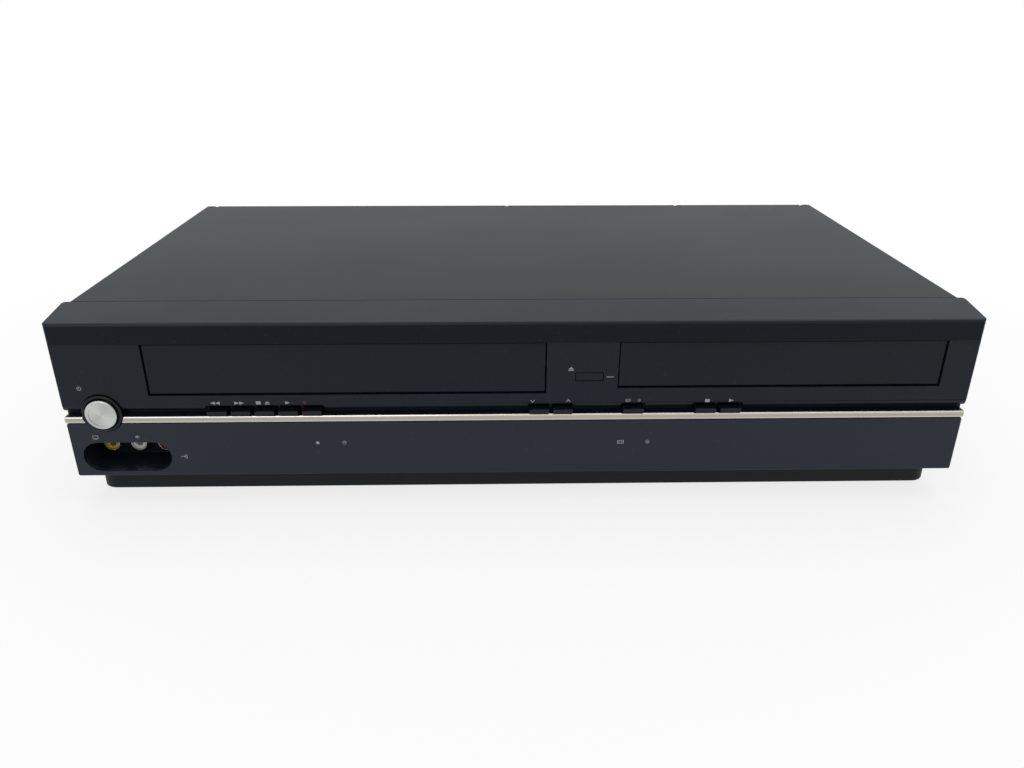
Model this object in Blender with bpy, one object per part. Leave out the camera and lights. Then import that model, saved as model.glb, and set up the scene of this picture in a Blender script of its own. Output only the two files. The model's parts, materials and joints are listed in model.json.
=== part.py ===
"""Combined disc player and video cassette recorder, built piece by piece.

Lengths are in metres. X runs to the right, Y to the back and Z up, so the fascia looks along -Y.
The origin is the middle of the footprint, on the surface that the feet stand on.
"""

import math

import bmesh
import bpy
from mathutils import Matrix, Vector

# Clearances and cutter overrun
GAP = 0.0003
RUNNING = 0.0004
REVEAL = 0.0006
OVERRUN = 0.0010

# What the machine takes in
CASSETTE_WIDTH = 0.1870
CASSETTE_HEIGHT = 0.0250
DISC_RADIUS = 0.0605
SMALL_DISC_RADIUS = 0.0405

# Fascia heights, from the surface it stands on to the top
FOOT_HEIGHT = 0.0026
SKIRT_HEIGHT = 0.0140
PANEL_HEIGHT = 0.0286
STRIP_SHADOW = 0.0004
STRIP_HEIGHT = 0.0036
RECESS_HEIGHT = 0.0028
LIP_HEIGHT = 0.0025
DOOR_SILL = 0.0050
DOOR_HEAD_ROOM = 0.0015
BROW_HEIGHT = 0.0105
TOP_DROP = 0.0030
DOOR_HEIGHT = CASSETTE_HEIGHT + DOOR_HEAD_ROOM
PANEL_FOOT_Z = FOOT_HEIGHT + SKIRT_HEIGHT
PANEL_TOP_Z = PANEL_FOOT_Z + PANEL_HEIGHT
STRIP_FOOT_Z = PANEL_TOP_Z + STRIP_SHADOW
STRIP_TOP_Z = STRIP_FOOT_Z + STRIP_HEIGHT
LIP_FOOT_Z = STRIP_TOP_Z + RECESS_HEIGHT
LIP_Z = LIP_FOOT_Z + LIP_HEIGHT
BROW_FOOT_Z = LIP_Z + DOOR_SILL + DOOR_HEIGHT
BROW_TOP_Z = BROW_FOOT_Z + BROW_HEIGHT
HEIGHT = BROW_TOP_Z + TOP_DROP

# Fascia widths, from its left side to its right side
DOOR_MARGIN = 0.0418
DOOR_PLAY = 0.0019
MIDDLE_WIDTH = 0.0340
TRAY_RIM = 0.0065
TRAY_FRONT_SIDE = 0.01065
TRAY_MARGIN = 0.0150
DOOR_WIDTH = CASSETTE_WIDTH + DOOR_PLAY
TRAY_HALF = DISC_RADIUS + TRAY_RIM
TRAY_FRONT_WIDTH = 2 * (TRAY_HALF + TRAY_FRONT_SIDE)
FASCIA_WIDTH = DOOR_MARGIN + DOOR_WIDTH + MIDDLE_WIDTH + TRAY_FRONT_WIDTH + TRAY_MARGIN
LEFT_SIDE = -FASCIA_WIDTH / 2
RIGHT_SIDE = FASCIA_WIDTH / 2
DOOR_LEFT = LEFT_SIDE + DOOR_MARGIN
DOOR_RIGHT = DOOR_LEFT + DOOR_WIDTH
TRAY_LEFT = DOOR_RIGHT + MIDDLE_WIDTH
TRAY_RIGHT = TRAY_LEFT + TRAY_FRONT_WIDTH
DOOR_X = (DOOR_LEFT + DOOR_RIGHT) / 2
TRAY_X = (TRAY_LEFT + TRAY_RIGHT) / 2

# Depths, from the fascia's front plane to the back
FASCIA_DEPTH = 0.0230
HOLDER_START = 0.0360
HOLDER_LENGTH = 0.0480
CARRIAGE_TRAVEL = 0.0440
DRUM_CLEARANCE = 0.0050
DRUM_RADIUS = 0.0310
DECK_TAIL = 0.0130
REAR_BAY = 0.0240
POWER_PROUD = 0.0015
JACK_PROUD = 0.0035
DRUM_BEHIND = HOLDER_START + HOLDER_LENGTH + CARRIAGE_TRAVEL + DRUM_CLEARANCE + DRUM_RADIUS
COVER_REACH = DRUM_BEHIND + DRUM_RADIUS + DECK_TAIL + REAR_BAY
DEPTH = POWER_PROUD + COVER_REACH + JACK_PROUD
FRONT = POWER_PROUD - DEPTH / 2
SEAM = FRONT + FASCIA_DEPTH
REAR_EDGE = FRONT + COVER_REACH

# Fascia moulding
FASCIA_WALL = 0.0025
FASCIA_CORNER = 0.0020
EDGE_ROUND = 0.0015
FACE_STEP = 0.0012
RECESS_DEPTH = 0.0050
RECESS_WALL = 0.0020
PANEL_STEP = 0.0008
PANEL_THICKNESS = 0.0018
FASCIA_FOOT_RUN = 0.0120
FASCIA_FOOT_RISE = 0.0102
FASCIA_FOOT_WALL = 0.0012
FACE_Y = FRONT + FACE_STEP
RECESS_Y = FRONT + RECESS_DEPTH
RECESS_BACK_Y = RECESS_Y + RECESS_WALL
PANEL_Y = FRONT + PANEL_STEP
PANEL_BACK_Y = PANEL_Y + PANEL_THICKNESS
LOWER_WALL_Y = PANEL_BACK_Y + GAP
LOWER_BACK_Y = LOWER_WALL_Y + FASCIA_WALL
SKIRT_TOP_Z = FOOT_HEIGHT + FASCIA_FOOT_RISE

# Sheet cover, base moulding and rear panel
COVER_STEP = 0.00225
COVER_SHEET = 0.0010
COVER_BEND = 0.0020
COVER_HEM_Z = 0.0080
COVER_NOTCH_RADIUS = 0.00325
COVER_NOTCH_INSET = 0.0030
COVER_VENT_WIDTH = 0.0025
COVER_VENT_HEIGHT = 0.0240
COVER_VENT_PITCH = 0.0065
COVER_VENTS = 10
COVER_NOTCH_SHARES = (-0.97, -0.012, 0.55, 0.97)
BASE_WALL = 0.0020
BASE_CORNER = 0.0080
BASE_SIDE_HEIGHT = 0.0134
BASE_VENT_WIDTH = 0.0030
BASE_VENT_LENGTH = 0.0340
BASE_VENT_PITCH = 0.0080
BASE_VENTS = 7
REAR_SHEET = 0.0010
REAR_INSET = 0.0050
REAR_LIP = 0.0060
COVER_HALF = FASCIA_WIDTH / 2 - COVER_STEP
BASE_HALF = COVER_HALF - COVER_SHEET - GAP
BASE_FLOOR_Z = FOOT_HEIGHT + BASE_WALL
REAR_PANEL_Y = REAR_EDGE - REAR_INSET - REAR_SHEET

# Feet
FOOT_RADIUS = 0.0090
FOOT_PLUG_RADIUS = 0.0035
FOOT_SIDE_INSET = 0.0300
FOOT_FRONT_INSET = 0.0420
FOOT_REAR_INSET = 0.0300

# Bosses and posts that the base moulding carries
BOSS_RADIUS = 0.0035
POST_RADIUS = 0.0045

# Power button and its bezel
POWER_MARGIN = 0.0185
POWER_Z = 0.0507
RING_RADIUS = 0.0095
RING_BORE = 0.0081
RING_LENGTH = 0.0085
RING_BACK = 0.0015
BUTTON_RADIUS = 0.00755
BUTTON_LENGTH = 0.0055
BUTTON_BEVEL = 0.0006
STEM_RADIUS = 0.0030
POWER_TRAVEL = 0.0010
POWER_X = LEFT_SIDE + POWER_MARGIN

# Small keys under the upper face
KEY_WIDTH = 0.0093
KEY_PITCH = 0.0113
DISC_KEY_WIDTH = 0.0101
DISC_KEY_PITCH = 0.0121
KEY_HEIGHT = 0.0023
KEY_PROUD = 0.0008
KEY_BEVEL = 0.0004
KEY_REACH = 0.0130
KEY_TRAVEL = 0.0005
NOTCH_SIDE = 0.0016
NOTCH_SLOPE = 0.0009
KEY_Z = STRIP_TOP_Z + RUNNING
TRANSPORT_INSET = 0.0315
TRACKING_INSET = 0.0032
SELECT_INSET = 0.0082
DISC_KEY_INSET = 0.0432
OPEN_KEY_WIDTH = 0.0129
OPEN_KEY_HEIGHT = 0.0039
OPEN_KEY_Z = 0.0680
OPEN_KEY_SHARE = 0.60
OPEN_BOARD_SHARE = 0.80

# Front board with its switches and display
BOARD = 0.0016
SWITCH_SIZE = 0.0050
FRONT_BOARD_REACH = 0.0174
FRONT_BOARD_LOW_Z = 0.0180
FRONT_BOARD_TOP_Z = 0.0552
FRONT_BOARD_Y = FRONT + FRONT_BOARD_REACH
SWITCH_Y = FRONT + KEY_REACH + KEY_TRAVEL + RUNNING
DISPLAY_WIDTH = 0.0620
DISPLAY_HEIGHT = 0.0150
DISPLAY_RIM = 0.0030
DISPLAY_X = -0.0150
DISPLAY_Z = 0.0310
FRONT_BOSS_RADIUS = 0.0025

# Front jack pocket
POCKET_WIDTH = 0.0428
POCKET_HEIGHT = 0.0157
POCKET_MARGIN = 0.0048
POCKET_Z = 0.0270
POCKET_WALL = 0.0011
POCKET_DEPTH = 0.0198
JACK_PITCH = 0.0135
JACK_RADIUS = 0.0040
JACK_BORE = 0.0017
JACK_FACE = 0.0120
JACK_BODY_RADIUS = 0.0055
JACK_BODY_LENGTH = 0.0050
POCKET_X = LEFT_SIDE + POCKET_MARGIN + POCKET_WIDTH / 2

# Cassette door
DOOR_INSET = 0.0008
DOOR_THICKNESS = 0.0020
DOOR_AXIS_RISE = 0.0035
DOOR_AXIS_INSET = 0.0036
DOOR_PIN_RADIUS = 0.0010
DOOR_PIN_LENGTH = 0.0022
DOOR_ARM = 0.0030
LUG_SIZE = 0.0048
LUG_WIDTH = 0.0030
DOOR_FOOT_Z = BROW_FOOT_Z - DOOR_HEIGHT
DOOR_Y = FACE_Y + DOOR_INSET
DOOR_AXIS_Y = DOOR_Y + DOOR_AXIS_INSET
DOOR_AXIS_Z = BROW_FOOT_Z + DOOR_AXIS_RISE

# Cassette, the carriage that takes it in and the deck it is lowered on
CASSETTE_SIDE_PLAY = 0.0006
CASSETTE_RISE = 0.0007
HOLDER_SHEET = 0.0010
HOLDER_LEDGE = 0.0080
HOLDER_HEAD_ROOM = 0.0010
SLIDER_SHEET = 0.0010
SLIDER_MARGIN = 0.0030
FRAME_SHEET = 0.0012
CARRIAGE_DROP = 0.0120
GUIDE_PIN_RADIUS = 0.0018
GUIDE_PIN_INSET = 0.0080
BRIDGE_WIDTH = 0.0220
DECK_START = 0.0300
DECK_SHEET = 0.0015
DECK_FLANGE = 0.0060
REEL_SEAT = 0.0020
DECK_DROP = 0.0167
CASSETTE_Z = DOOR_FOOT_Z + CASSETTE_RISE
HOLDER_HALF = CASSETTE_WIDTH / 2 + CASSETTE_SIDE_PLAY
HOLDER_Y = FRONT + HOLDER_START
SLIDER_HALF = HOLDER_HALF + HOLDER_SHEET + GAP
FRAME_HALF = SLIDER_HALF + SLIDER_SHEET + GAP
HOLDER_TOP_Z = CASSETTE_Z + CASSETTE_HEIGHT + HOLDER_HEAD_ROOM + HOLDER_SHEET
DECK_TOP_Z = CASSETTE_Z - CARRIAGE_DROP - DECK_DROP
DECK_Z = DECK_TOP_Z - DECK_SHEET
DECK_Y = FRONT + DECK_START
SLIDER_TOP_Z = HOLDER_TOP_Z + RUNNING + SLIDER_SHEET
GUIDE_PIN_Z = CASSETTE_Z + GUIDE_PIN_INSET

# Reels, drum, capstan and pinch roller
REEL_SPACING = 0.0930
REEL_AHEAD = 0.0560
REEL_RADIUS = 0.0170
REEL_HUB_RADIUS = 0.0085
REEL_HUB_RISE = 0.0230
REEL_FLANGE = 0.0035
REEL_POST_RADIUS = 0.0015
DRUM_LOWER_HEIGHT = 0.0240
DRUM_UPPER_HEIGHT = 0.0140
DRUM_LEAN = math.radians(5)
DRUM_SEAT_SHARE = 0.6
DRUM_DISH_SHARES = (0.84, 0.80, 0.42, 0.38)
DRUM_SPLIT = 0.0005
CAPSTAN_OFFSET = 0.0600
CAPSTAN_AHEAD = 0.0400
CAPSTAN_RADIUS = 0.0015
CAPSTAN_RISE = 0.0400
CAPSTAN_SLEEVE = 0.0045
CAPSTAN_SLEEVE_RISE = 0.0130
FLYWHEEL_RADIUS = 0.0210
FLYWHEEL_THICKNESS = 0.0070
FLYWHEEL_RIM_SHARE = 0.75
FLYWHEEL_DISH_SHARE = 0.4
PINCH_RADIUS = 0.0085
PINCH_HEIGHT = 0.0150
PINCH_ARM_LENGTH = 0.0260
PINCH_ARM_WIDTH = 0.0080
PINCH_ARM_SHEET = 0.0020
PINCH_OPEN_GAP = 0.0100
PINCH_PIVOT_SHARES = (0.55, 0.70)
DRUM_Y = FRONT + DRUM_BEHIND
CAPSTAN_X = DOOR_X + CAPSTAN_OFFSET
CAPSTAN_Y = DRUM_Y - CAPSTAN_AHEAD
REEL_Y = CAPSTAN_Y - REEL_AHEAD
DECK_END_Y = DRUM_Y + DRUM_RADIUS + DECK_TAIL

# Disc loader
LOADER_START = 0.0260
LOADER_WALL = 0.0020
LOADER_DROP = 0.0060
LOADER_RAIL = 0.0030
TRAY_FRONT_HEIGHT = 0.0240
TRAY_FRONT_THICKNESS = 0.0036
TRAY_FRONT_SHELL = 0.0016
TRAY_TAIL = 0.0060
TRAY_THICKNESS = 0.0050
TRAY_RISE = 0.0065
TRAY_TRAVEL = 0.1340
DISC_POCKET = 0.0022
SMALL_DISC_POCKET = 0.0010
DISC_BEHIND = 0.0740
SLOT_HALF = 0.0185
SPINDLE_RADIUS = 0.0150
ROTOR_RADIUS = 0.0120
ROTOR_HEIGHT = 0.0074
HUB_RADIUS = 0.0074
HUB_HEIGHT = 0.0026
HUB_TAPER_SHARE = 0.85
TRAVERSE_HALF = 0.0420
TRAVERSE_THICKNESS = 0.0030
TRAVERSE_MARGIN = 0.0160
TRAVERSE_PLAY = 0.0020
TRAVERSE_BAR = 0.0080
ROD_RADIUS = 0.0015
ROD_HALF = 0.0290
PICKUP_LENGTH = 0.0280
PICKUP_HEIGHT = 0.0060
PICKUP_TRAVEL = 0.0350
PICKUP_START = 0.0160
LENS_RADIUS = 0.0030
SCREW_RADIUS = 0.0015
SCREW_X_OFFSET = 0.0365
CLAMP_SHEET = 0.0012
CLAMP_LENGTH = 0.0400
CLAMP_HOLE = 0.0110
PUCK_RADIUS = 0.0140
GEAR_MODULE = 0.0010
GEAR_TEETH = 18
ADDENDUM_SHARE = 0.8
DEDENDUM_SHARE = 1.2
PRESSURE_ANGLE = math.radians(20)
GEAR_WIDTH = 0.0032
GEAR_BACKLASH = 0.00016
RACK_BACK = 0.0030
PULLEY_RADIUS = 0.0080
MOTOR_PULLEY_RADIUS = 0.0035
MOTOR_RADIUS = 0.0105
MOTOR_LENGTH = 0.0150
BELT = 0.0010
PULLEY_SPACING = 0.0300
TRAY_FRONT_FOOT_Z = BROW_FOOT_Z - TRAY_FRONT_HEIGHT
LOADER_FLOOR_Z = TRAY_FRONT_FOOT_Z - LOADER_DROP
TRAY_Z = LOADER_FLOOR_Z + LOADER_WALL + LOADER_RAIL + TRAY_RISE
TRAY_TOP_Z = TRAY_Z + TRAY_THICKNESS
LOADER_HALF = TRAY_HALF + RUNNING + LOADER_WALL
LOADER_Y = FRONT + LOADER_START
DISC_Y = FRONT + DISC_BEHIND
DISC_FLOOR_Z = TRAY_TOP_Z - DISC_POCKET
TRAY_START_Y = FACE_Y + DOOR_INSET + TRAY_FRONT_THICKNESS + GAP
PLATTER_TOP_Z = DISC_FLOOR_Z + RUNNING
GEAR_PITCH_RADIUS = GEAR_MODULE * GEAR_TEETH / 2
GEAR_X = TRAY_X + TRAY_HALF - RACK_BACK - 2 * GEAR_MODULE - GEAR_PITCH_RADIUS - LOADER_WALL
GEAR_Y = LOADER_Y + LOADER_WALL + PULLEY_RADIUS + 2 * BELT
TRAY_END_Y = GEAR_Y + TRAY_TRAVEL + TRAY_TAIL
LOADER_END_Y = TRAY_END_Y + 2 * LOADER_WALL

# Rear sockets and boards
REAR_JACK_RADIUS = 0.0042
REAR_JACK_PITCH = 0.0140
REAR_JACK_COLUMNS = 6
REAR_JACK_ROWS = 2
REAR_BLOCK_DEPTH = 0.0120
REAR_BLOCK_Z = 0.0180
REAR_BLOCK_X = -0.1480
RF_BLOCK_X = -0.0420
RF_BLOCK_WIDTH = 0.0340
RF_BLOCK_HEIGHT = 0.0260
RF_BLOCK_CLEARANCE = 0.0017
RF_RADIUS = 0.0046
RF_PLACE_SHARES = (0.27, 0.73)
GLAND_X = 0.1900
GLAND_Z = 0.0300
GLAND_RADIUS = 0.0062
GLAND_LENGTH = 0.0060
MAIN_BOARD_Z = 0.0110
MAIN_BOARD_INSET = 0.0120
POWER_BOARD_Z = 0.0120
POWER_BOARD_HALF = 0.0560
POWER_BOARD_LENGTH = 0.1200
CHIP_SHARES = ((-0.5, 0.3, 1.2), (0.1, 0.25, 1.6), (0.55, 0.4, 1.0), (-0.2, 0.55, 1.3))
CAPACITOR_SHARES = ((-0.6, 0.72, 0.6), (-0.55, 0.4, 0.35), (0.55, 0.3, 0.35), (0.62, 0.55, 0.3))
CORE_RISE_SHARE = 1.6
WINDING_SHARES = (1.3, 0.7, 0.4, 1.3)
CAPACITOR_RISE_SHARE = 3
SINK_PLACE_SHARE = 0.45
SINK_SHARES = (2.2, 1.0, 2.0)
SINK_SPINE_SHARES = (1.7, 1.5, 1.8)
FIN_PITCH_SHARE = 0.3
FINS = 5

# Facet counts of round pieces
FINE = 32
ROUND = 24
PLAIN = 18
SMALL = 12
TINY = 8


# Materials

def finish(name, colour, roughness, metallic):
    """One Principled material with a colour, a roughness and a metallic value."""
    material = bpy.data.materials.new(name)
    material.use_nodes = True
    shader = material.node_tree.nodes["Principled BSDF"]
    shader.inputs["Base Color"].default_value = (*colour, 1.0)
    shader.inputs["Roughness"].default_value = roughness
    shader.inputs["Metallic"].default_value = metallic
    material.diffuse_color = (*colour, 1.0)
    return material


FINISHES = {
    "black_steel": ((0.050, 0.053, 0.056), 0.42, 0.3),
    "black_plastic": ((0.016, 0.018, 0.021), 0.38, 0.0),
    "smoke_panel": ((0.024, 0.029, 0.037), 0.22, 0.0),
    "champagne": ((0.46, 0.42, 0.34), 0.30, 0.9),
    "spun_silver": ((0.62, 0.62, 0.60), 0.28, 1.0),
    "dark_grey": ((0.045, 0.047, 0.050), 0.40, 0.0),
    "rubber": ((0.012, 0.012, 0.013), 0.85, 0.0),
    "zinc_sheet": ((0.52, 0.53, 0.53), 0.38, 1.0),
    "steel": ((0.60, 0.60, 0.60), 0.22, 1.0),
    "aluminium": ((0.66, 0.66, 0.67), 0.30, 1.0),
    "white_nylon": ((0.72, 0.71, 0.67), 0.50, 0.0),
    "green_board": ((0.030, 0.110, 0.045), 0.45, 0.0),
    "brown_board": ((0.260, 0.150, 0.060), 0.55, 0.0),
    "yellow_plastic": ((0.750, 0.520, 0.020), 0.35, 0.0),
    "white_plastic": ((0.760, 0.750, 0.710), 0.35, 0.0),
    "red_plastic": ((0.480, 0.020, 0.020), 0.35, 0.0),
    "display_glass": ((0.010, 0.020, 0.018), 0.12, 0.0),
}
MATERIALS = {}


# Solid building tools

def make(name, shape, material):
    """Store a bmesh as an object whose faces point outwards."""
    bmesh.ops.recalc_face_normals(shape, faces=shape.faces)
    mesh = bpy.data.meshes.new(name)
    shape.to_mesh(mesh)
    shape.free()
    piece = bpy.data.objects.new(name, mesh)
    bpy.context.scene.collection.objects.link(piece)
    mesh.materials.append(MATERIALS[material])
    return piece


def prism(name, outline, start, end, axis, material="black_plastic"):
    """Extrude an outline: (y, z) points along X, (x, z) points along Y, (x, y) points along Z."""
    place = {
        "X": lambda u, v, w: (w, u, v),
        "Y": lambda u, v, w: (u, w, v),
        "Z": lambda u, v, w: (u, v, w),
    }[axis]
    shape = bmesh.new()
    near = [shape.verts.new(place(u, v, start)) for u, v in outline]
    far = [shape.verts.new(place(u, v, end)) for u, v in outline]
    shape.faces.new(near)
    shape.faces.new(list(reversed(far)))
    for index in range(len(outline)):
        shape.faces.new((near[index], near[index - 1], far[index - 1], far[index]))
    return make(name, shape, material)


def block(name, low, high, material="black_plastic"):
    """A box between two corners."""
    outline = [(low[0], low[1]), (high[0], low[1]), (high[0], high[1]), (low[0], high[1])]
    return prism(name, outline, low[2], high[2], "Z", material)


def turned(name, profile, centre, axis, steps, material="black_plastic"):
    """Spin a closed profile of (radius, distance along the axis) about an axis through centre."""
    place = {
        "X": lambda c, s, h: (h, c, s),
        "Y": lambda c, s, h: (c, h, s),
        "Z": lambda c, s, h: (c, s, h),
    }[axis]
    origin = Vector(centre)
    shape = bmesh.new()
    rings = []
    for radius, along in profile:
        count = steps if radius > 0 else 1
        ring = []
        for step in range(count):
            angle = 2 * math.pi * step / steps
            point = Vector(place(radius * math.cos(angle), radius * math.sin(angle), along))
            ring.append(shape.verts.new(origin + point))
        rings.append(ring)
    for index, ring in enumerate(rings):
        bridge(shape, rings[index - 1], ring, steps)
    return make(name, shape, material)


def bridge(shape, first, second, steps):
    """Join two rings, or a ring and a pole, with faces."""
    if len(first) == 1 and len(second) == 1:
        return
    for step in range(steps):
        corners = []
        for ring, order in ((first, (step, step + 1)), (second, (step + 1, step))):
            for place in order:
                vert = ring[place % len(ring)]
                if vert not in corners:
                    corners.append(vert)
        shape.faces.new(corners)


def rod(name, radius, start, end, centre, axis, steps=TINY, material="black_plastic"):
    """A plain round bar; centre gives its two other coordinates as a point with zero along the axis."""
    return turned(name, [(0, start), (radius, start), (radius, end), (0, end)], centre, axis,
                  steps, material)


def arc(centre, radius, start, end, steps):
    """Points on a circle from one angle to another, in degrees."""
    points = []
    for step in range(steps + 1):
        angle = math.radians(start + (end - start) * step / steps)
        points.append((centre[0] + radius * math.cos(angle), centre[1] + radius * math.sin(angle)))
    return points


def rounded(low, high, radius, steps=4):
    """A rectangle with round corners, as outline points."""
    left, right = low[0] + radius, high[0] - radius
    foot, top = low[1] + radius, high[1] - radius
    return (arc((right, foot), radius, -90, 0, steps) + arc((right, top), radius, 0, 90, steps)
            + arc((left, top), radius, 90, 180, steps) + arc((left, foot), radius, 180, 270, steps))


def stadium(centre, width, height, steps=8):
    """A bar with half-round ends, as outline points."""
    radius = height / 2
    reach = width / 2 - radius
    return (arc((centre[0] + reach, centre[1]), radius, -90, 90, steps)
            + arc((centre[0] - reach, centre[1]), radius, 90, 270, steps))


def combine(target, tools, operation):
    """Union with, or cut by, each tool in turn."""
    for tool in tools:
        modifier = target.modifiers.new("form", "BOOLEAN")
        modifier.operation = operation
        modifier.solver = "EXACT"
        modifier.object = tool
        graph = bpy.context.evaluated_depsgraph_get()
        mesh = bpy.data.meshes.new_from_object(target.evaluated_get(graph))
        target.modifiers.clear()
        old = target.data
        target.data = mesh
        mesh.name = old.name
        bpy.data.meshes.remove(old)
        bpy.data.meshes.remove(tool.data)
    return target


def cut(target, *tools):
    """Take the tools out of the target."""
    return combine(target, tools, "DIFFERENCE")


def unite(target, *tools):
    """Fuse the tools to the target."""
    return combine(target, tools, "UNION")


def set_origin(piece, point):
    """Put a moving piece's origin on its joint's axis."""
    piece.data.transform(Matrix.Translation(-Vector(point)))
    piece.location = point
    return piece


def smooth(piece, angle=35):
    """Shade round faces smooth and keep edges crisp."""
    piece.data.shade_smooth()
    piece.data.set_sharp_from_angle(angle=math.radians(angle))
    return piece


# Front moulding

def fascia_profile():
    """The fascia's outer section, as (y, z) from the seam over the brow down to the skirt."""
    brow_edge = arc((FRONT + EDGE_ROUND, BROW_TOP_Z - EDGE_ROUND), EDGE_ROUND, 97, 180, 4)
    lip = arc((RECESS_Y, LIP_Z), RECESS_DEPTH - FACE_STEP, 180, 270, 4)
    lip = [(y, LIP_Z - (LIP_Z - z) * LIP_HEIGHT / (RECESS_DEPTH - FACE_STEP)) for y, z in lip]
    return ([(SEAM, HEIGHT)] + brow_edge + [(FRONT, BROW_FOOT_Z), (FACE_Y, BROW_FOOT_Z)] + lip
            + [(RECESS_Y, PANEL_TOP_Z), (LOWER_WALL_Y, PANEL_TOP_Z), (LOWER_WALL_Y, PANEL_FOOT_Z),
               (FRONT + FASCIA_FOOT_RUN, SKIRT_TOP_Z), (SEAM, SKIRT_TOP_Z)])


def fascia_hollow():
    """The fascia's inner section, one wall inside the outer one and open to the back."""
    back = SEAM + OVERRUN
    roof = FASCIA_WALL
    return [(back, HEIGHT - roof), (FACE_Y + roof, BROW_TOP_Z - roof), (FACE_Y + roof, LIP_Z),
            (RECESS_BACK_Y, LIP_FOOT_Z + RECESS_WALL), (RECESS_BACK_Y, PANEL_TOP_Z - RECESS_WALL),
            (LOWER_BACK_Y, PANEL_TOP_Z - 2 * RECESS_WALL), (LOWER_BACK_Y, PANEL_FOOT_Z + FASCIA_FOOT_WALL),
            (FRONT + FASCIA_FOOT_RUN, SKIRT_TOP_Z + FASCIA_WALL), (back, SKIRT_TOP_Z + FASCIA_WALL)]


def key_places():
    """Name, centre x and width of every small key."""
    transport = ("rewind_button", "fast_forward_button", "stop_eject_button",
                 "tape_play_button", "record_button")
    places = [(name, DOOR_LEFT + TRANSPORT_INSET + KEY_PITCH * index, KEY_WIDTH)
              for index, name in enumerate(transport)]
    places += [(name, DOOR_RIGHT - TRACKING_INSET + KEY_PITCH * index, KEY_WIDTH)
               for index, name in enumerate(("tracking_down_button", "tracking_up_button"))]
    places.append(("source_select_button", TRAY_LEFT + SELECT_INSET, DISC_KEY_WIDTH))
    places += [(name, TRAY_LEFT + DISC_KEY_INSET + DISC_KEY_PITCH * index, DISC_KEY_WIDTH)
               for index, name in enumerate(("disc_stop_button", "disc_play_button"))]
    return places


def key_notches():
    """One notch in the lip over each row of keys, with sloped ends."""
    places = key_places()
    cutters = []
    for first, last in ((0, 4), (5, 6), (7, 7), (8, 9)):
        left = places[first][1] - places[first][2] / 2 - NOTCH_SIDE
        right = places[last][1] + places[last][2] / 2 + NOTCH_SIDE
        top = LIP_Z - GAP
        outline = [(left, LIP_FOOT_Z - OVERRUN), (right, LIP_FOOT_Z - OVERRUN),
                   (right - NOTCH_SLOPE, top), (left + NOTCH_SLOPE, top)]
        cutters.append(prism("notch", outline, FRONT - OVERRUN, RECESS_Y, "Y"))
    return cutters


def key_slots():
    """The guide slot that each small key passes through."""
    cutters = []
    for _, x, width in key_places():
        half = width / 2 + GAP
        cutters.append(block("slot", (x - half, RECESS_Y - OVERRUN, KEY_Z - GAP),
                             (x + half, RECESS_BACK_Y + OVERRUN, KEY_Z + KEY_HEIGHT + GAP)))
    return cutters


def open_key_x():
    """The open and close key sits in the middle strip between the two openings."""
    return DOOR_RIGHT + MIDDLE_WIDTH * OPEN_KEY_SHARE


def board_start_x():
    """The front board's lower half starts just right of the jack pocket."""
    return POCKET_X + POCKET_WIDTH / 2 + POCKET_WALL + 2 * RUNNING


def front_bosses():
    """Bosses inside the fascia that the front board is screwed to."""
    spots = [(board_start_x() + BOSS_RADIUS, FRONT_BOARD_LOW_Z + BOSS_RADIUS),
             (TRAY_LEFT, FRONT_BOARD_LOW_Z + BOSS_RADIUS),
             (TRAY_X - BOSS_RADIUS, FRONT_BOARD_LOW_Z + BOSS_RADIUS)]
    return [rod("boss", FRONT_BOSS_RADIUS, LOWER_BACK_Y - OVERRUN, FRONT_BOARD_Y - GAP,
                (x, 0, z), "Y") for x, z in spots]


def door_lugs():
    """Two lugs behind the brow that hold the cassette door's pins."""
    lugs = []
    for side, edge in ((-1, DOOR_LEFT), (1, DOOR_RIGHT)):
        start = edge - side * (REVEAL - GAP)
        ends = sorted((start, start + side * LUG_WIDTH))
        half = LUG_SIZE / 2
        lug = block("lug", (ends[0], FACE_Y + FASCIA_WALL - OVERRUN, DOOR_AXIS_Z - half),
                    (ends[1], DOOR_AXIS_Y + half, DOOR_AXIS_Z + half))
        bore = rod("bore", DOOR_PIN_RADIUS + RUNNING, ends[0] - OVERRUN, ends[1] + OVERRUN,
                   (0, DOOR_AXIS_Y, DOOR_AXIS_Z), "X")
        lugs.append(cut(lug, bore))
    return lugs


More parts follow.
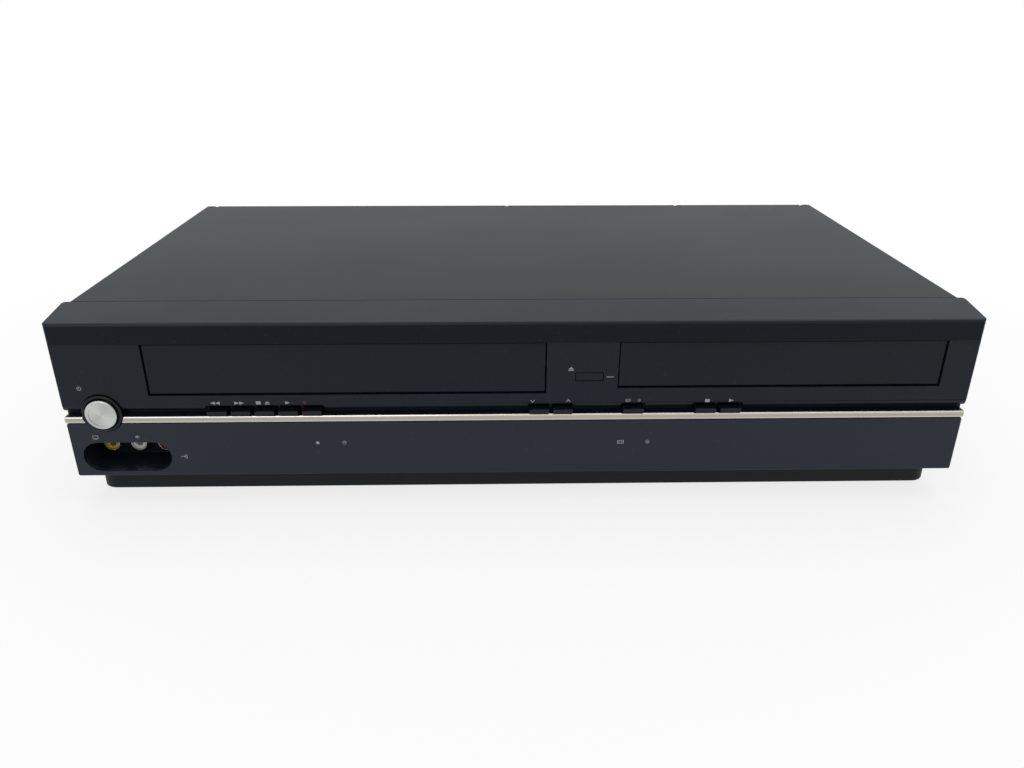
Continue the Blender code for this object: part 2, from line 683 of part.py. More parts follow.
def front_fascia():
    """The moulded front: brow, upper face, lip, strip groove and lower wall, open at the back."""
    body = prism("front_fascia", fascia_profile(), LEFT_SIDE, RIGHT_SIDE, "X")
    plan = prism("plan", rounded((LEFT_SIDE, FRONT), (RIGHT_SIDE, SEAM), FASCIA_CORNER),
                 0, HEIGHT + OVERRUN, "Z")
    combine(body, [plan], "INTERSECT")
    inner = FASCIA_WIDTH / 2 - FASCIA_WALL
    cut(body, prism("hollow", fascia_hollow(), -inner, inner, "X"))
    near, far = FRONT - OVERRUN, RECESS_BACK_Y + OVERRUN
    cut(body,
        block("door_hole", (DOOR_LEFT, near, DOOR_FOOT_Z), (DOOR_RIGHT, far, BROW_FOOT_Z)),
        block("tray_hole", (TRAY_LEFT, near, TRAY_FRONT_FOOT_Z), (TRAY_RIGHT, far, BROW_FOOT_Z)),
        open_key_solid("open_hole", GAP, near, far),
        rod("ring_hole", RING_RADIUS + GAP, near, far + OVERRUN, (POWER_X, 0, POWER_Z), "Y", ROUND),
        prism("pocket_hole", stadium((POCKET_X, POCKET_Z), POCKET_WIDTH, POCKET_HEIGHT), near, far, "Y"),
        block("display_hole", (DISPLAY_X - DISPLAY_WIDTH / 2, near, DISPLAY_Z - DISPLAY_HEIGHT / 2),
              (DISPLAY_X + DISPLAY_WIDTH / 2, far, DISPLAY_Z + DISPLAY_HEIGHT / 2)))
    cut(body, *key_notches())
    cut(body, *key_slots())
    unite(body, *front_bosses())
    unite(body, *door_lugs())
    return body


def lower_panel():
    """The smoked panel across the lower front, cut out for the bezel and the jack pocket."""
    left, right = LEFT_SIDE + GAP, RIGHT_SIDE - GAP
    outline = rounded((left, PANEL_FOOT_Z), (right, PANEL_TOP_Z), PANEL_STEP, 2)
    panel = prism("lower_panel", outline, PANEL_Y, PANEL_BACK_Y, "Y", "smoke_panel")
    near, far = PANEL_Y - OVERRUN, PANEL_BACK_Y + OVERRUN
    return cut(panel,
               rod("ring", RING_RADIUS + GAP, near, far, (POWER_X, 0, POWER_Z), "Y", ROUND),
               prism("pocket", stadium((POCKET_X, POCKET_Z), POCKET_WIDTH, POCKET_HEIGHT), near, far, "Y"))


def trim_strip(name, left, right):
    """One length of the metal trim, with bevelled edges, ending round the power bezel."""
    back = RECESS_Y - GAP
    bevel = STRIP_HEIGHT / 6
    outline = [(back, STRIP_FOOT_Z), (FRONT + bevel, STRIP_FOOT_Z), (FRONT, STRIP_FOOT_Z + bevel),
               (FRONT, STRIP_TOP_Z - bevel), (FRONT + bevel, STRIP_TOP_Z), (back, STRIP_TOP_Z)]
    strip = prism(name, outline, left, right, "X", "champagne")
    hole = rod("ring", RING_RADIUS + GAP, FRONT - OVERRUN, RECESS_Y, (POWER_X, 0, POWER_Z), "Y", ROUND)
    return cut(strip, hole)


def power_ring():
    """The round bezel that the power button moves in."""
    bevel = BUTTON_BEVEL
    profile = [(RING_RADIUS, FRONT + bevel), (RING_RADIUS - bevel, FRONT), (RING_BORE + bevel, FRONT + bevel),
               (RING_BORE, FRONT + 2 * bevel), (RING_BORE, FRONT + RING_LENGTH - RING_BACK),
               (STEM_RADIUS + GAP, FRONT + RING_LENGTH - RING_BACK),
               (STEM_RADIUS + GAP, FRONT + RING_LENGTH), (RING_RADIUS, FRONT + RING_LENGTH)]
    return smooth(turned("power_button_bezel", profile, (POWER_X, 0, POWER_Z), "Y", ROUND))


def power_button():
    """The spun metal cap on its stem."""
    face = FRONT - POWER_PROUD
    stem_end = SWITCH_Y - POWER_TRAVEL - RUNNING
    profile = [(0, face), (BUTTON_RADIUS - BUTTON_BEVEL, face), (BUTTON_RADIUS, face + BUTTON_BEVEL),
               (BUTTON_RADIUS, face + BUTTON_LENGTH), (STEM_RADIUS, face + BUTTON_LENGTH),
               (STEM_RADIUS, stem_end), (0, stem_end)]
    piece = turned("power_button", profile, (POWER_X, 0, POWER_Z), "Y", ROUND, "spun_silver")
    return set_origin(smooth(piece), (POWER_X, face, POWER_Z))


def small_key(name, x, width):
    """One key: a bevelled nose over the trim and a flat tongue through the fascia to its switch."""
    nose = FRONT - KEY_PROUD
    top = KEY_Z + KEY_HEIGHT
    bevel = KEY_BEVEL
    outline = [(nose, KEY_Z), (FRONT + KEY_REACH, KEY_Z), (FRONT + KEY_REACH, top),
               (nose + 2 * bevel, top), (nose + bevel / 2, top - bevel / 2), (nose, top - bevel)]
    piece = prism(name, outline, x - width / 2, x + width / 2, "X", "dark_grey")
    return set_origin(piece, (x, nose, KEY_Z + KEY_HEIGHT / 2))


def open_key_solid(name, grow, start, end, material="dark_grey"):
    """The open and close key's outline, or the hole round it when it grows by a gap."""
    half_x = OPEN_KEY_WIDTH / 2 + grow
    half_z = OPEN_KEY_HEIGHT / 2 + grow
    x = open_key_x()
    outline = rounded((x - half_x, OPEN_KEY_Z - half_z), (x + half_x, OPEN_KEY_Z + half_z),
                      KEY_BEVEL + grow, 2)
    return prism(name, outline, start, end, "Y", material)


def open_close_key():
    """The flush key between the cassette door and the tray."""
    nose = FACE_Y + KEY_BEVEL / 2
    piece = open_key_solid("open_close_button", 0, nose, FRONT + KEY_REACH)
    return set_origin(piece, (open_key_x(), nose, OPEN_KEY_Z))


# Front board and sockets

def front_board():
    """The upright board behind the fascia, with a switch behind every key."""
    key_x = open_key_x()
    wing = OPEN_KEY_WIDTH * OPEN_BOARD_SHARE
    left = LEFT_SIDE + FASCIA_WALL + FASCIA_CORNER
    inner = board_start_x()
    wing_foot = POWER_Z - RING_RADIUS
    outline = [(inner, FRONT_BOARD_LOW_Z), (TRAY_X, FRONT_BOARD_LOW_Z), (TRAY_X, FRONT_BOARD_TOP_Z),
               (key_x + wing, FRONT_BOARD_TOP_Z), (key_x + wing, OPEN_KEY_Z + OPEN_KEY_HEIGHT),
               (key_x - wing, OPEN_KEY_Z + OPEN_KEY_HEIGHT), (key_x - wing, FRONT_BOARD_TOP_Z),
               (left, FRONT_BOARD_TOP_Z), (left, wing_foot), (inner, wing_foot)]
    board = prism("front_board", outline, FRONT_BOARD_Y, FRONT_BOARD_Y + BOARD, "Y", "green_board")
    spots = [(x, KEY_Z + KEY_HEIGHT / 2) for _, x, _ in key_places()]
    spots += [(key_x, OPEN_KEY_Z), (POWER_X, POWER_Z)]
    half = SWITCH_SIZE / 2
    switches = [block("switch", (x - half, SWITCH_Y, z - half), (x + half, FRONT_BOARD_Y + GAP, z + half))
                for x, z in spots]
    return unite(board, *switches)


def status_display():
    """The display tube in front of the board, behind the smoked panel."""
    half_x = DISPLAY_WIDTH / 2 + DISPLAY_RIM
    half_z = DISPLAY_HEIGHT / 2 + DISPLAY_RIM
    face = LOWER_BACK_Y + GAP
    body = block("status_display", (DISPLAY_X - half_x, face, DISPLAY_Z - half_z),
                 (DISPLAY_X + half_x, FRONT_BOARD_Y - GAP, DISPLAY_Z + half_z), "display_glass")
    nose_x = DISPLAY_WIDTH / 2 - GAP
    nose_z = DISPLAY_HEIGHT / 2 - GAP
    nose = block("nose", (DISPLAY_X - nose_x, LOWER_WALL_Y, DISPLAY_Z - nose_z),
                 (DISPLAY_X + nose_x, face + OVERRUN, DISPLAY_Z + nose_z))
    return unite(body, nose)


def jack_pocket():
    """The deep pocket round the front jacks, a cup with three holes in its back."""
    start = LOWER_BACK_Y + GAP
    back = FRONT + POCKET_DEPTH
    outer = stadium((POCKET_X, POCKET_Z), POCKET_WIDTH + 2 * POCKET_WALL, POCKET_HEIGHT + 2 * POCKET_WALL)
    cup = prism("jack_pocket", outer, start, back + POCKET_WALL, "Y")
    inner = stadium((POCKET_X, POCKET_Z), POCKET_WIDTH, POCKET_HEIGHT)
    cut(cup, prism("well", inner, start - OVERRUN, back, "Y"))
    for index in (-1, 0, 1):
        hole = rod("hole", JACK_RADIUS + GAP, back - OVERRUN, back + 2 * POCKET_WALL,
                   (POCKET_X + index * JACK_PITCH, 0, POCKET_Z), "Y", SMALL)
        cut(cup, hole)
    return cup


def front_jack(name, index, material):
    """A socket whose barrel stands in the pocket and whose body sits behind it."""
    face = FRONT + JACK_FACE
    shoulder = FRONT + POCKET_DEPTH + POCKET_WALL + GAP
    back = shoulder + JACK_BODY_LENGTH
    bore_end = face + JACK_BODY_LENGTH
    profile = [(JACK_BORE, face), (JACK_RADIUS, face), (JACK_RADIUS, shoulder), (JACK_BODY_RADIUS, shoulder),
               (JACK_BODY_RADIUS, back), (0, back), (0, bore_end), (JACK_BORE, bore_end)]
    centre = (POCKET_X + index * JACK_PITCH, 0, POCKET_Z)
    return smooth(turned(name, profile, centre, "Y", SMALL, material))


# Case

def top_cover():
    """The folded sheet over the top and both sides, with side vents and rear screw notches."""
    outer = rounded((-COVER_HALF, COVER_HEM_Z - COVER_BEND), (COVER_HALF, HEIGHT), COVER_BEND)
    start = SEAM + GAP
    cover = prism("top_cover", outer, start, REAR_EDGE, "Y", "black_steel")
    inner_half = COVER_HALF - COVER_SHEET
    inner = rounded((-inner_half, -COVER_BEND), (inner_half, HEIGHT - COVER_SHEET), COVER_BEND - COVER_SHEET)
    cut(cover, prism("inside", inner, start - OVERRUN, REAR_EDGE + OVERRUN, "Y"))
    cut(cover, block("hem", (-FASCIA_WIDTH, start - OVERRUN, -COVER_BEND),
                     (FASCIA_WIDTH, REAR_EDGE + OVERRUN, COVER_HEM_Z)))
    for share in COVER_NOTCH_SHARES:
        centre = (BASE_HALF * share, REAR_EDGE - COVER_NOTCH_INSET, 0)
        cut(cover, rod("notch", COVER_NOTCH_RADIUS, HEIGHT - 2 * COVER_SHEET, HEIGHT + OVERRUN,
                       centre, "Z", SMALL))
    span = COVER_VENT_PITCH * (COVER_VENTS - 1)
    first = (SEAM + REAR_EDGE - span) / 2
    foot = (HEIGHT - COVER_VENT_HEIGHT) / 2
    for index in range(COVER_VENTS):
        y = first + COVER_VENT_PITCH * index
        outline = stadium_upright(y, foot, COVER_VENT_WIDTH, COVER_VENT_HEIGHT)
        cut(cover, prism("vent", outline, -FASCIA_WIDTH, FASCIA_WIDTH, "X"))
    return cover


def stadium_upright(centre, foot, width, height, steps=2):
    """An upright slot with half-round ends, as outline points."""
    radius = width / 2
    return (arc((centre, foot + radius), radius, 180, 360, steps)
            + arc((centre, foot + height - radius), radius, 0, 180, steps))


def foot_places():
    """Name, x and y of the four feet."""
    x = BASE_HALF - FOOT_SIDE_INSET
    front, rear = FRONT + FOOT_FRONT_INSET, REAR_EDGE - FOOT_REAR_INSET
    return [("foot_front_left", -x, front), ("foot_front_right", x, front),
            ("foot_rear_left", -x, rear), ("foot_rear_right", x, rear)]


def foot(name, x, y):
    """A soft foot with a plug that is pressed into the base."""
    top = FOOT_HEIGHT - GAP
    plug = BASE_FLOOR_Z + FOOT_HEIGHT / 2
    profile = [(0, 0), (FOOT_RADIUS - GAP, 0), (FOOT_RADIUS, top), (FOOT_PLUG_RADIUS, top),
               (FOOT_PLUG_RADIUS, plug), (0, plug)]
    return smooth(turned(name, profile, (x, y, 0), "Z", SMALL, "rubber"))


def deck_posts():
    """Where the tape deck stands on the base."""
    x = FRAME_HALF - DECK_FLANGE - POST_RADIUS
    front, rear = DECK_Y + 2 * POST_RADIUS, DECK_END_Y - 2 * POST_RADIUS
    return [(DOOR_X - x, front), (DOOR_X + x, front), (DOOR_X - x, rear), (DOOR_X + x, rear)]


def loader_posts():
    """Where the disc loader stands on the base."""
    x = LOADER_HALF - POST_RADIUS
    front, rear = LOADER_Y + POST_RADIUS, LOADER_END_Y - POST_RADIUS
    return [(TRAY_X - x, front), (TRAY_X + x, front), (TRAY_X - x, rear), (TRAY_X + x, rear)]


def board_bosses():
    """Where the two lying boards stand on the base."""
    main_x = FRAME_HALF - DECK_FLANGE - 3 * POST_RADIUS - BOSS_RADIUS
    front = DECK_Y + 3 * POST_RADIUS
    rear = REAR_PANEL_Y - MAIN_BOARD_INSET
    bosses = [(DOOR_X + side * main_x, y, MAIN_BOARD_Z) for side in (-1, 1) for y in (front, rear)]
    power_x = POWER_BOARD_HALF - BOSS_RADIUS
    power_front = REAR_PANEL_Y - POWER_BOARD_LENGTH
    bosses += [(TRAY_X + side * power_x, y, POWER_BOARD_Z) for side in (-1, 1) for y in (power_front, rear)]
    return bosses


def base_chassis():
    """The moulded tray of the case: floor, skirt, low sides, vents, bosses and posts."""
    skirt_y = FRONT + FASCIA_FOOT_RUN + GAP
    rear = REAR_EDGE - REAR_INSET / 2
    top = FOOT_HEIGHT + BASE_SIDE_HEIGHT
    corner = BASE_CORNER
    outer = (arc((BASE_HALF - corner, skirt_y + corner), corner, -90, 0, 5)
             + [(BASE_HALF, rear), (-BASE_HALF, rear)]
             + arc((-BASE_HALF + corner, skirt_y + corner), corner, 180, 270, 5))
    base = prism("base_chassis", outer, FOOT_HEIGHT, top, "Z")
    inner_half = BASE_HALF - BASE_WALL
    inner_corner = corner - BASE_WALL
    inner_y = skirt_y + BASE_WALL
    inner = (arc((inner_half - inner_corner, inner_y + inner_corner), inner_corner, -90, 0, 5)
             + [(inner_half, rear + OVERRUN), (-inner_half, rear + OVERRUN)]
             + arc((-inner_half + inner_corner, inner_y + inner_corner), inner_corner, 180, 270, 5))
    cut(base, prism("tub", inner, BASE_FLOOR_Z, top + OVERRUN, "Z"))
    cut(base, block("step", (-BASE_HALF - OVERRUN, skirt_y - OVERRUN, SKIRT_TOP_Z - GAP),
                    (BASE_HALF + OVERRUN, SEAM + GAP, top + OVERRUN)))
    for x, y in deck_posts():
        unite(base, rod("post", POST_RADIUS, BASE_FLOOR_Z - GAP, DECK_Z - GAP, (x, y, 0), "Z"))
    for x, y in loader_posts():
        unite(base, rod("post", POST_RADIUS, BASE_FLOOR_Z - GAP, LOADER_FLOOR_Z - GAP, (x, y, 0), "Z"))
    for x, y, z in board_bosses():
        unite(base, rod("boss", BOSS_RADIUS, BASE_FLOOR_Z - GAP, z - GAP, (x, y, 0), "Z"))
    for _, x, y in foot_places():
        cut(base, rod("foot_hole", FOOT_PLUG_RADIUS + GAP, 0, BASE_FLOOR_Z + OVERRUN, (x, y, 0), "Z", SMALL))
    for index in range(BASE_VENTS):
        y = FRONT + COVER_REACH / 2 + BASE_VENT_PITCH * (index - (BASE_VENTS - 1) / 2)
        for x in (DOOR_X, TRAY_X):
            outline = stadium((x, y), BASE_VENT_LENGTH, BASE_VENT_WIDTH, 2)
            cut(base, prism("vent", outline, FOOT_HEIGHT - OVERRUN, BASE_FLOOR_Z + OVERRUN, "Z"))
    return base


def rear_jack_places():
    """Centres of the sockets in the rear block."""
    return [(REAR_BLOCK_X + REAR_JACK_PITCH * (column + 0.5),
             REAR_BLOCK_Z + REAR_JACK_PITCH * (row + 0.5))
            for column in range(REAR_JACK_COLUMNS) for row in range(REAR_JACK_ROWS)]


def rf_places():
    """Centres of the two aerial terminals."""
    z = MAIN_BOARD_Z + BOARD + GAP + RF_BLOCK_HEIGHT / 2
    return [(RF_BLOCK_X + RF_BLOCK_WIDTH * share, z) for share in RF_PLACE_SHARES]


def rear_panel():
    """The pressed sheet that closes the back, with its folded lips and socket holes."""
    top, foot_z = HEIGHT - COVER_SHEET - GAP, BASE_FLOOR_Z + GAP
    front, back = REAR_PANEL_Y, REAR_PANEL_Y + REAR_SHEET
    lip = front - REAR_LIP
    outline = [(back, foot_z), (back, top), (lip, top), (lip, top - REAR_SHEET), (front, top - REAR_SHEET),
               (front, foot_z + REAR_SHEET), (lip, foot_z + REAR_SHEET), (lip, foot_z)]
    half = BASE_HALF - BASE_WALL - GAP
    panel = prism("rear_panel", outline, -half, half, "X", "black_steel")
    wing = BASE_HALF
    for side in (-1, 1):
        ends = sorted((side * (half - OVERRUN), side * wing))
        wing_foot = FOOT_HEIGHT + BASE_SIDE_HEIGHT + GAP
        unite(panel, block("wing", (ends[0], front, wing_foot), (ends[1], back, top)))
    near, far = front - OVERRUN, back + OVERRUN
    for x, z in rear_jack_places():
        cut(panel, rod("hole", REAR_JACK_RADIUS + RUNNING, near, far, (x, 0, z), "Y", SMALL))
    for x, z in rf_places():
        cut(panel, rod("hole", RF_RADIUS + RUNNING, near, far, (x, 0, z), "Y", SMALL))
    cut(panel, rod("gland_hole", GLAND_RADIUS + GAP, near, far, (GLAND_X, 0, GLAND_Z), "Y", SMALL))
    for index in range(COVER_VENTS):
        x = TRAY_X + COVER_VENT_PITCH * (index - (COVER_VENTS - 1) / 2)
        outline = stadium_upright(x, HEIGHT / 2, COVER_VENT_WIDTH, COVER_VENT_HEIGHT)
        cut(panel, prism("vent", outline, near, far, "Y"))
    return panel


# Rear sockets and lying boards

def rear_av_jacks():
    """The moulded block with two rows of sockets that pass through the rear panel."""
    back = REAR_PANEL_Y - GAP
    low = (REAR_BLOCK_X, back - REAR_BLOCK_DEPTH, MAIN_BOARD_Z + BOARD + GAP)
    high = (REAR_BLOCK_X + REAR_JACK_PITCH * REAR_JACK_COLUMNS, back,
            REAR_BLOCK_Z + REAR_JACK_PITCH * REAR_JACK_ROWS)
    body = block("rear_av_jacks", low, high)
    end = REAR_EDGE + JACK_PROUD
    for x, z in rear_jack_places():
        unite(body, rod("barrel", REAR_JACK_RADIUS, back - OVERRUN, end, (x, 0, z), "Y", SMALL))
        cut(body, rod("bore", JACK_BORE, back, end + OVERRUN, (x, 0, z), "Y", TINY))
    return body


def rf_terminal():
    """The screened box with the two aerial terminals."""
    back = REAR_PANEL_Y - GAP
    foot_z = MAIN_BOARD_Z + BOARD + GAP
    body = block("rf_terminal", (RF_BLOCK_X, DECK_END_Y + RF_BLOCK_CLEARANCE, foot_z),
                 (RF_BLOCK_X + RF_BLOCK_WIDTH, back, foot_z + RF_BLOCK_HEIGHT), "zinc_sheet")
    end = REAR_EDGE + JACK_PROUD / 2
    for x, z in rf_places():
        unite(body, rod("barrel", RF_RADIUS, back - OVERRUN, end, (x, 0, z), "Y", SMALL))
        cut(body, rod("bore", JACK_BORE, back, end + OVERRUN, (x, 0, z), "Y", TINY))
    return body


def mains_gland():
    """The bush in the rear panel that the mains lead comes through."""
    face = REAR_PANEL_Y + REAR_SHEET + GAP
    end = face + GLAND_LENGTH - GAP
    inside = REAR_PANEL_Y - GLAND_LENGTH
    profile = [(GLAND_RADIUS / 2, inside), (GLAND_RADIUS, inside), (GLAND_RADIUS, face),
               (GLAND_RADIUS + FASCIA_WALL, face), (GLAND_RADIUS + BOARD, end), (GLAND_RADIUS / 2, end)]
    return smooth(turned("mains_gland", profile, (GLAND_X, 0, GLAND_Z), "Y", SMALL))


def main_board():
    """The lying board under the tape deck, with its larger parts."""
    half = FRAME_HALF - DECK_FLANGE - 3 * POST_RADIUS
    front, rear = DECK_Y + 2 * POST_RADIUS, REAR_PANEL_Y - GAP
    board = block("main_board", (DOOR_X - half, front, MAIN_BOARD_Z),
                  (DOOR_X + half, rear, MAIN_BOARD_Z + BOARD), "green_board")
    chip = 2 * POST_RADIUS
    for x_share, y_share, size_share in CHIP_SHARES:
        x = DOOR_X + half * x_share
        y = front + (rear - front) * y_share
        unite(board, block("chip", (x - chip * size_share, y - chip, MAIN_BOARD_Z + GAP),
                           (x + chip * size_share, y + chip, MAIN_BOARD_Z + 2 * BOARD)))
    return board


def power_supply():
    """The supply board under the disc loader, with transformer, capacitors and finned sink."""
    front = REAR_PANEL_Y - POWER_BOARD_LENGTH - BOSS_RADIUS
    rear = REAR_PANEL_Y - 2 * BOSS_RADIUS
    left, right = TRAY_X - POWER_BOARD_HALF, TRAY_X + POWER_BOARD_HALF
    top = POWER_BOARD_Z + BOARD
    board = block("power_supply", (left, front, POWER_BOARD_Z), (right, rear, top), "brown_board")
    length = rear - front
    core = POWER_BOARD_HALF / 4
    x, y = TRAY_X, front + length / 2
    unite(board, block("core", (x - core, y - core, top - GAP),
                       (x + core, y + core, top + core * CORE_RISE_SHARE)))
    wide, deep, low, high = [core * share for share in WINDING_SHARES]
    unite(board, block("winding", (x - wide, y - deep, top + low), (x + wide, y + deep, top + high)))
    for x_share, y_share, size_share in CAPACITOR_SHARES:
        place = (x + POWER_BOARD_HALF * x_share, front + length * y_share, 0)
        radius = core * size_share
        unite(board, rod("can", radius, top - GAP, top + radius * CAPACITOR_RISE_SHARE, place, "Z", SMALL))
    sink_x = x + POWER_BOARD_HALF * SINK_PLACE_SHARE
    pitch = core * FIN_PITCH_SHARE
    near, far, rise = [core * share for share in SINK_SHARES]
    for index in range(FINS):
        fin = sink_x + pitch * index
        unite(board, block("fin", (fin, rear - near, top - GAP), (fin + BOARD, rear - far, top + rise)))
    near, far, rise = [core * share for share in SINK_SPINE_SHARES]
    unite(board, block("spine", (sink_x, rear - near, top - GAP),
                       (sink_x + pitch * (FINS - 1) + BOARD / 2, rear - far, top + rise)))
    return board


# Cassette door and carriage

def cassette_door():
    """The flap over the cassette slot, with an arm and a pin at each end."""
    left, right = DOOR_LEFT + REVEAL, DOOR_RIGHT - REVEAL
    foot_z, top = DOOR_FOOT_Z + REVEAL, BROW_FOOT_Z - REVEAL
    back = DOOR_Y + DOOR_THICKNESS
    bevel = KEY_BEVEL
    outline = [(DOOR_Y + bevel, foot_z), (back, foot_z), (back, top), (DOOR_Y + bevel, top),
               (DOOR_Y, top - bevel), (DOOR_Y, foot_z + bevel)]
    door = prism("cassette_door", outline, left, right, "X")
    radius = DOOR_PIN_RADIUS + bevel
    arm = ([(back - GAP, top - 4 * DOOR_ARM), (DOOR_AXIS_Y + radius, DOOR_AXIS_Z)]
           + arc((DOOR_AXIS_Y, DOOR_AXIS_Z), radius, 0, 180, 6)[1:]
           + [(DOOR_AXIS_Y - radius, top - DOOR_ARM), (back - GAP, top - DOOR_ARM)])
    for start, end, pin_end in ((left, left + DOOR_ARM, left - DOOR_PIN_LENGTH),
                                (right - DOOR_ARM, right, right + DOOR_PIN_LENGTH)):
        unite(door, prism("arm", arm, start, end, "X"))
        ends = sorted((pin_end, (start + end) / 2))
        unite(door, rod("pin", DOOR_PIN_RADIUS, ends[0], ends[1], (0, DOOR_AXIS_Y, DOOR_AXIS_Z), "X"))
    return set_origin(door, (DOOR_X, DOOR_AXIS_Y, DOOR_AXIS_Z))


def guide_pin_ys():
    """The two guide pins along the holder's side."""
    inset = HOLDER_LENGTH / 4
    return HOLDER_Y + inset, HOLDER_Y + HOLDER_LENGTH - inset


def cassette_holder():
    """The sheet basket that grips the cassette: sides, ledges, a back stop and two top straps."""
    foot_z = CASSETTE_Z - HOLDER_SHEET
    outer, inner = HOLDER_HALF + HOLDER_SHEET, HOLDER_HALF
    ledge = inner - HOLDER_LEDGE
    roof = HOLDER_TOP_Z - HOLDER_SHEET
    section = [(-outer, foot_z), (-ledge, foot_z), (-ledge, CASSETTE_Z), (-inner, CASSETTE_Z), (-inner, roof),
               (inner, roof), (inner, CASSETTE_Z), (ledge, CASSETTE_Z), (ledge, foot_z), (outer, foot_z),
               (outer, HOLDER_TOP_Z), (-outer, HOLDER_TOP_Z)]
    section = [(DOOR_X + x, z) for x, z in section]
    start, end = HOLDER_Y, HOLDER_Y + HOLDER_LENGTH
    holder = prism("cassette_holder", section, start, end, "Y", "zinc_sheet")
    window = HOLDER_LENGTH / 4
    half = inner - HOLDER_LEDGE
    cut(holder, block("window", (DOOR_X - half, start + window, roof - OVERRUN),
                      (DOOR_X + half, end - window, HOLDER_TOP_Z + OVERRUN)))
    for side in (-1, 1):
        tab = sorted((DOOR_X + side * outer, DOOR_X + side * ledge))
        unite(holder, block("stop", (tab[0], end - HOLDER_SHEET, foot_z), (tab[1], end, HOLDER_TOP_Z)))
        for y in guide_pin_ys():
            reach = sorted((DOOR_X + side * (outer - HOLDER_SHEET / 2),
                            DOOR_X + side * (SLIDER_HALF + SLIDER_SHEET)))
            unite(holder, rod("pin", GUIDE_PIN_RADIUS, reach[0], reach[1], (0, y, GUIDE_PIN_Z), "X"))
    return set_origin(holder, (DOOR_X, start, CASSETTE_Z))


def slider_outline():
    """The slider's side plate, as (y, z) points."""
    start, end = HOLDER_Y - SLIDER_MARGIN, HOLDER_Y + HOLDER_LENGTH + SLIDER_MARGIN
    foot_z = GUIDE_PIN_Z - CARRIAGE_DROP - 2 * GUIDE_PIN_RADIUS - SLIDER_MARGIN
    return [(start, foot_z), (end, foot_z), (end, SLIDER_TOP_Z), (start, SLIDER_TOP_Z)]


def carriage_slider():
    """The frame that carries the holder in: two side plates with upright slots and a top bar."""
    outer = SLIDER_HALF + SLIDER_SHEET
    start, end = HOLDER_Y - SLIDER_MARGIN, HOLDER_Y + HOLDER_LENGTH + SLIDER_MARGIN
    outline = slider_outline()
    slider = prism("carriage_slider", outline, DOOR_X - outer, DOOR_X + outer, "X", "zinc_sheet")
    inside = [(start - OVERRUN, 0), (end + OVERRUN, 0), (end + OVERRUN, SLIDER_TOP_Z - SLIDER_SHEET),
              (start - OVERRUN, SLIDER_TOP_Z - SLIDER_SHEET)]
    cut(slider, prism("inside", inside, DOOR_X - SLIDER_HALF, DOOR_X + SLIDER_HALF, "X"))
    window = HOLDER_LENGTH / 3
    half = SLIDER_HALF - HOLDER_LEDGE
    cut(slider, block("window", (DOOR_X - half, start - OVERRUN, SLIDER_TOP_Z - 2 * SLIDER_SHEET),
                      (DOOR_X + half, start + window, SLIDER_TOP_Z + OVERRUN)))
    width = 2 * (GUIDE_PIN_RADIUS + GAP)
    for y in guide_pin_ys():
        slot = stadium_upright(y, GUIDE_PIN_Z - CARRIAGE_DROP - width / 2, width, CARRIAGE_DROP + width, 4)
        cut(slider, prism("slot", slot, DOOR_X - outer - OVERRUN, DOOR_X + outer + OVERRUN, "X"))
    for side in (-1, 1):
        for y in slide_pin_ys():
            reach = sorted((DOOR_X + side * (outer - SLIDER_SHEET / 2),
                            DOOR_X + side * (FRAME_HALF + FRAME_SHEET)))
            unite(slider, rod("pin", GUIDE_PIN_RADIUS, reach[0], reach[1], (0, y, slide_pin_z()), "X"))
    return set_origin(slider, (DOOR_X, start, SLIDER_TOP_Z))


def slide_pin_ys():
    """The slider's own pins, which run in the housing's level slots."""
    return HOLDER_Y, HOLDER_Y + HOLDER_LENGTH


def slide_pin_z():
    """Height of the level slots, above the holder's guide pins."""
    return GUIDE_PIN_Z + 4 * GUIDE_PIN_RADIUS


def carriage_housing():
    """The two fixed side walls of the cassette bay, with level slots and a bridge over the top."""
    outer = FRAME_HALF + FRAME_SHEET
    start = DECK_Y + GAP
    end = HOLDER_Y + HOLDER_LENGTH + CARRIAGE_TRAVEL + 3 * SLIDER_MARGIN
    foot_z = DECK_TOP_Z + GAP
    top = SLIDER_TOP_Z + RUNNING + FRAME_SHEET
    outline = [(start, foot_z), (end, foot_z), (end, slide_pin_z() + 3 * SLIDER_MARGIN),
               (end - BRIDGE_WIDTH, top), (start + SLIDER_MARGIN, top), (start, slide_pin_z())]
    housing = prism("carriage_housing", outline, DOOR_X - outer, DOOR_X + outer, "X", "zinc_sheet")
    cut(housing, block("inside", (DOOR_X - FRAME_HALF, start - OVERRUN, 0),
                       (DOOR_X + FRAME_HALF, end + OVERRUN, top - FRAME_SHEET)))
    half = FRAME_HALF - HOLDER_LEDGE
    middle = (start + end) / 2
    for low, high in ((start - OVERRUN, middle - BRIDGE_WIDTH / 2),
                      (middle + BRIDGE_WIDTH / 2, end + OVERRUN)):
        cut(housing, block("window", (DOOR_X - half, low, top - 2 * FRAME_SHEET),
                           (DOOR_X + half, high, top + OVERRUN)))
    radius = GUIDE_PIN_RADIUS + GAP
    first, last = slide_pin_ys()
    slot = stadium(((first + last + CARRIAGE_TRAVEL) / 2, slide_pin_z()),
                   last - first + CARRIAGE_TRAVEL + 2 * radius, 2 * radius, 4)
    cut(housing, prism("slot", slot, DOOR_X - outer - OVERRUN, DOOR_X + outer + OVERRUN, "X"))
    return housing


# Tape deck

